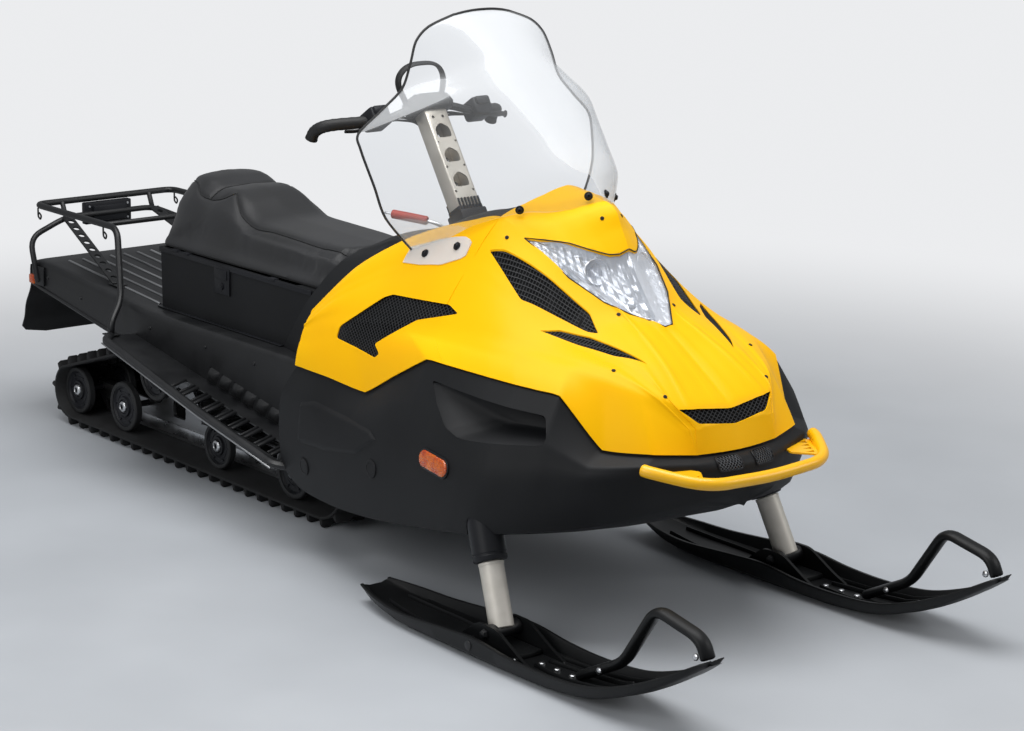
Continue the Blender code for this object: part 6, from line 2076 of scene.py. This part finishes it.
def ski(side, word):
    keys = curve_through([(row[0], row[1], row[2]) for row in SKI_TABLE], 7)
    walls = curve_through([(row[0], row[3], row[4]) for row in SKI_TABLE], 7)
    middle = vec(0, side * SKI_Y, 0)
    rows = []
    for key, wall in zip(keys, walls):
        x, floor, keel = key.x, key.z, wall.z
        half, top = key.y * 0.098, key.z + wall.y
        closing = min(0.01, half * 0.3)
        outer = [(0.0, floor - keel), (0.01, floor - keel), (0.02, floor), (half - 0.014, floor),
                 (half - 0.003, floor + 0.01), (half, top - 0.003), (half - 0.003, top), (half - closing, top),
                 (half - closing - 0.003, top - 0.004), (half - 0.02, floor + 0.011), (half - 0.03, floor + 0.0075),
                 (0.0, floor + 0.0075)]
        outer = [vec(x, max(y, 0.0), z) for y, z in outer]
        rows.append([p + middle for p in outer + mirrored(outer[-2:0:-1])])
    bm = bmesh.new()
    add_loft(bm, rows)
    for inner in (1, -1):
        low = side * SKI_Y + inner * CHEEK_Y
        add_plate(bm, eased(CHEEK, 0.018, 4), "Y", *sorted((low, low + inner * 0.009)), edge=0.0015)
        for shift, start, end in ((0.03, 0.6, 0.93), (0.055, 1.12, 1.5), (0.022, 1.16, 1.46)):
            line = []
            for k in range(13):
                x = start + (end - start) * k / 12
                y = side * SKI_Y + inner * (shift + 0.012 * math.sin(math.pi * k / 12))
                line.append((x, y, ski_floor(x) + 0.009))
            add_tube(bm, line, 0.0048, 8, scale=(0.8, 1.7))
    add_tube(bm, [PIN * vec(1, side, 1) + vec(0, y, 0) for y in (-0.062, 0.062)], 0.0088, 20)
    add_box(bm, (0.93, side * SKI_Y - 0.045, 0.0145), (1.11, side * SKI_Y + 0.045, 0.03), edge=0.006)
    handle = mm([(1300, 30), (1448, 106), (1552, 262), (1698, 234), (1720, 190)])
    add_tube(bm, rounded_path([(x, side * SKI_Y, z) for x, z in handle], 0.034, 7), 0.0128, 18, scale=(1.6, 1.0))
    piece = to_piece("ski_moulding_" + word, bm, "ski_body_" + word, SKI_PLASTIC, sharp=42)
    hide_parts("ski_" + word)
    bm = bmesh.new()
    for inner in (1, -1):
        y = side * SKI_Y + inner * 0.0562
        add_lathe(bm, [(0, 0.0125), (0.004, 0.0125), (0.0045, 0.011), (0.01, 0.01), (0.0115, 0.007), (0.0115, 0)],
                  (PIN.x, y, PIN.z), (0, inner, 0), 6, 1)
        for x, z in ((0.945, 0.03), (1.125, 0.026)):
            add_lathe(bm, [(0, 0.0075), (0.004, 0.007), (0.0055, 0.0045), (0.0055, 0)], (x, y, z), (0, inner, 0), 14)
        for x, z in ((1.385, 0.07), (1.7, 0.196)):
            add_lathe(bm, BOLT_HEAD, (x, side * SKI_Y + inner * 0.0185, z), (0, inner, 0.15), 14)
    add_lathe(bm, [(0, 0.012), (0.0022, 0.0112), (0.003, 0.008), (0.003, 0)],
              (1.0, side * (SKI_Y + 0.0965), 0.038), (0, side, 0), 20, 1)
    for x in (1.16, 1.215, 1.27):
        add_lathe(bm, BOLT_HEAD, (x, side * SKI_Y, ski_floor(x) + 0.007), (0, 0, 1), 14)
    to_piece("ski_bolts_" + word, bm, "ski_body_" + word, ZINC, COATED)


def ski_leg(side, word):
    flip = vec(1, side, 1)
    low, axis = STRUT_LOW * flip, STRUT_UP * flip
    start = 0.138
    bm = bmesh.new()
    profile = [(-0.026, 0.0), (-0.026, 0.0285), (-0.0235, 0.0308), (start - 0.01, 0.0308), (start - 0.0095, 0.0318),
               (start - 0.003, 0.0318), (start - 0.0025, 0.03), (start - 0.0022, 0.0218), (0.29, 0.0218), (0.29, 0.0)]
    add_lathe(bm, profile, low, axis, 48)
    boss = [(-CHEEK_Y + 0.0014, 0.0098), (-CHEEK_Y + 0.0014, 0.0185), (-CHEEK_Y + 0.003, 0.0198),
            (CHEEK_Y - 0.003, 0.0198), (CHEEK_Y - 0.0014, 0.0185), (CHEEK_Y - 0.0014, 0.0098)]
    add_lathe(bm, boss, PIN * flip, (0, 1, 0), 36, 1)
    leg = to_piece("leg_tube_" + word, bm, "leg_" + word, LEG_PAINT, COATED, sharp=35)
    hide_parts("ski_leg_" + word)
    bm = bmesh.new()
    sleeve = [(start, 0.0232), (start, 0.0405), (start + 0.003, 0.0426), (start + 0.012, 0.0428),
              (start + 0.014, 0.0412), (start + 0.018, 0.0412), (start + 0.02, 0.0428), (0.34, 0.043), (0.34, 0.0),
              (0.297, 0.0), (0.297, 0.0226)]
    add_lathe(bm, sleeve, low, axis, 48)
    piece = to_piece("leg_sleeve_" + word, bm, "chassis", TRIM, sharp=35)
    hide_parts("strut_sleeve_" + word)


SKI_PLASTIC = grained_black("black_ski_polyethylene", ("0E0F10", "151617"), (0.34, 0.46), 0.0012, 0.0001)
LEG_PAINT = plain_finish("warm_silver_paint", ("CBC6BC", "D6D1C8"), (0.44, 0.52), 0.05, 0.0012, 0.00005, IOR=1.5,
                         Metallic=0.45)
for leg_side, leg_word in SIDES:
    ski(leg_side, leg_word)
    ski_leg(leg_side, leg_word)
print("skis and legs done")

# %% [markdown]
# ## Bumper, lamps and what stays of the CAD model
# The bumper is a bent tube with a pierced web at each side, sprayed yellow. The side lamps are tilted ovals
# of amber acrylic in black rims. A few inner CAD parts need no new shape. They keep their own meshes and get
# their finishes here.

# %% Bumper and side lamps
WEB = mm([(1283, 274), (1396, 197), (1332, 150), (1238, 192), (1250, 246)])


def bumper():
    half = [(1.272, -0.284, 0.486), (1.3, -0.274, 0.482), (1.408, -0.196, 0.462)]
    path = half + [(1.422, 0.0, 0.458)] + [(x, -y, z) for x, y, z in reversed(half)]
    bm = bmesh.new()
    add_tube(bm, rounded_path(path, 0.06, 8), 0.015, 20)
    for side in (1, -1):
        add_plate(bm, eased([(x, side * y) for x, y in WEB], 0.006), "Z", 0.4672, 0.4728, edge=0.0012)
    bar = to_piece("bumper_tube_and_webs", bm, None, BUMPER_YELLOW)
    cutters = bmesh.new()
    for side in (1, -1):
        for k in range(4):
            x, y, wide = 1.292 + 0.024 * k, 0.24 - 0.0155 * k, 0.0095 - 0.0008 * k
            corners = [(x - wide, y + 0.011), (x + wide, y + 0.001), (x - wide, y - 0.017)]
            hole = eased([(x, side * y) for x, y in corners], 0.003)
            add_plate(cutters, in_frame(hole), "Z", 0.455, 0.485)
    carve(bar, cutters, 35)
    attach(bar, "chassis")
    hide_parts("front_bumper")


def side_lamps():
    rims = bmesh.new()
    for side, word in SIDES:
        middle, normal = on_flank(0.762, 0.4215, side)
        along = vec(1, 0, -0.1)
        along = (along - normal * along.dot(normal)).normalized()
        up = normal.cross(along)
        bm = bmesh.new()
        for target, grow, levels in (
                (bm, 0.0, ((-0.004, 0.0), (0.004, 0.0), (0.0068, 0.0022), (0.0078, 0.006))),
                (rims, 0.0045, ((-0.004, 0.0), (0.0022, 0.0), (0.0032, 0.0014)))):
            rings = []
            for out, draw in levels:
                r = 0.0215 + grow - draw
                rings.append(ring_of(lambda a: middle + along * (math.copysign(0.038, math.cos(a)) + r * math.cos(a))
                                     + up * r * math.sin(a) + normal * out, 40))
            add_loft(target, rings)
        lens = to_piece("side_lens_" + word, bm, "chassis", AMBER, sharp=50)
        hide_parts("side_marker_" + word)
    to_piece("side_lens_rims", rims, "chassis", TRIM)


def nose_vents():
    """Two wire vents that follow the black lip between the hood and the bumper."""
    nets = []
    rims = bmesh.new()
    for side in (1, -1):
        def place(p, side=side):
            start = vec(1.6, side * 0.056 + p.x, 0.4765 + p.y)
            hit, _, _, _ = panel_skin_tree.ray_cast(start, vec(-1, 0, 0))
            return hit - DATUM + vec(0.0018, 0, 0.001)
        outline = eased([(-0.034, -0.015), (0.034, -0.015), (0.034, 0.015), (-0.034, 0.015)], 0.01)
        nets.append(net(outline, place, 0.0062, (45, 135)))
        add_tube(rims, [place(p) for p in outline + outline[:1]], 0.0022, 8)
    to_piece("nose_vent_rims", rims, "chassis", TRIM)
    wires("nose_vent_meshes", nets, 0.0009, CAST)


bumper()
side_lamps()
nose_vents()

# %% Finishes of the CAD parts that stay
KEPT = {
    "engine_block": CAST, "front_arm": COATED, "rear_arm": COATED, "drive_axle": DARK_STEEL,
    "seat_box": PANEL, "vent_liner_left": INNER, "vent_liner_right": INNER, "front_grille": INNER,
    "headlight_bowl": CHROME,
}
for node_name, finish in KEPT.items():
    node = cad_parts[node_name]
    node = node["object"] if isinstance(node, dict) else node
    node.data.materials.clear()
    node.data.materials.append(finish)
print("kept CAD parts:", len(KEPT))

# %% [markdown]
# ## Studio
# The machine stands on a plain pale floor that fades into the pale background a few metres away, so that no
# edge or wall shows from any side. One large soft lamp hangs overhead, with weaker ones at the sides. A large
# lamp gives the long soft highlights that show the hood's curves, where a small one would leave hard spots.

# %% Studio floor and lights
BACKGROUND = "F1F2F4"
FADE_START_M = 1.2
FADE_END_M = 4.6
FILL = 0.34
SHOWN = 0.95


def studio():
    bm = bmesh.new()
    add_grid(bm, [[vec(x, y, 0) for x in (-40.0, 40.0)] for y in (-40.0, 40.0)])
    material, tree, shader, place = start_material("pale_studio_floor")
    mottle(tree, shader, place, ("AEB2B7", "B8BCC1"), (0.5, 0.6), 0.9, 0.02, 0.0002)
    far = add(tree, "ShaderNodeVectorMath", {0: place}, operation="LENGTH")
    fade = ranged(tree, far.outputs["Value"], FADE_START_M, FADE_END_M, 0.0, 1.0, interpolation_type="SMOOTHSTEP")
    seen = add(tree, "ShaderNodeLightPath")
    level = ranged(tree, seen.outputs["Is Camera Ray"], 0.0, 1.0, FILL, SHOWN)
    glow = add(tree, "ShaderNodeEmission", {"Color": linear(BACKGROUND), "Strength": level})
    mix_out(tree, fade, shader, glow)
    face_toward(bm, lambda p: vec(0, 0, 1))
    to_piece("studio_floor", bm, None, material, shift=False, closed=False)


def lamp(name, place, aim, width, watts):
    data = bpy.data.lights.new(name, "AREA")
    data.shape = "RECTANGLE"
    data.size, data.size_y = width
    data.energy = watts
    obj = new_object(data)
    obj.location = place
    obj.rotation_euler = (Vector(aim) - Vector(place)).to_track_quat("-Z", "Y").to_euler()


def sky():
    world = bpy.data.worlds.new("studio")
    bpy.context.scene.world = world
    world.use_nodes = True
    tree = world.node_tree
    fill = tree.nodes["Background"]
    fill.inputs["Color"].default_value = linear("EEF1F5")
    fill.inputs["Strength"].default_value = FILL
    shown = add(tree, "ShaderNodeBackground", {"Color": linear(BACKGROUND), "Strength": SHOWN})
    path = add(tree, "ShaderNodeLightPath")
    seen = add(tree, "ShaderNodeMath", {
        0: path.outputs["Is Camera Ray"], 1: path.outputs["Is Transmission Ray"],
    }, operation="MAXIMUM")
    mix_out(tree, seen.outputs[0], fill, shown, "World Output")


studio()
sky()
lamp("overhead", (0.6, -0.4, 4.2), (0.2, 0.0, 0.4), (4.5, 3.2), 182)
lamp("front_left", (4.0, 3.2, 2.8), (0.6, 0.0, 0.6), (2.5, 2.0), 40)
lamp("right_side", (0.8, -4.6, 2.6), (0.0, 0.0, 0.5), (3.5, 2.0), 66)
print("floor and lamps in place")
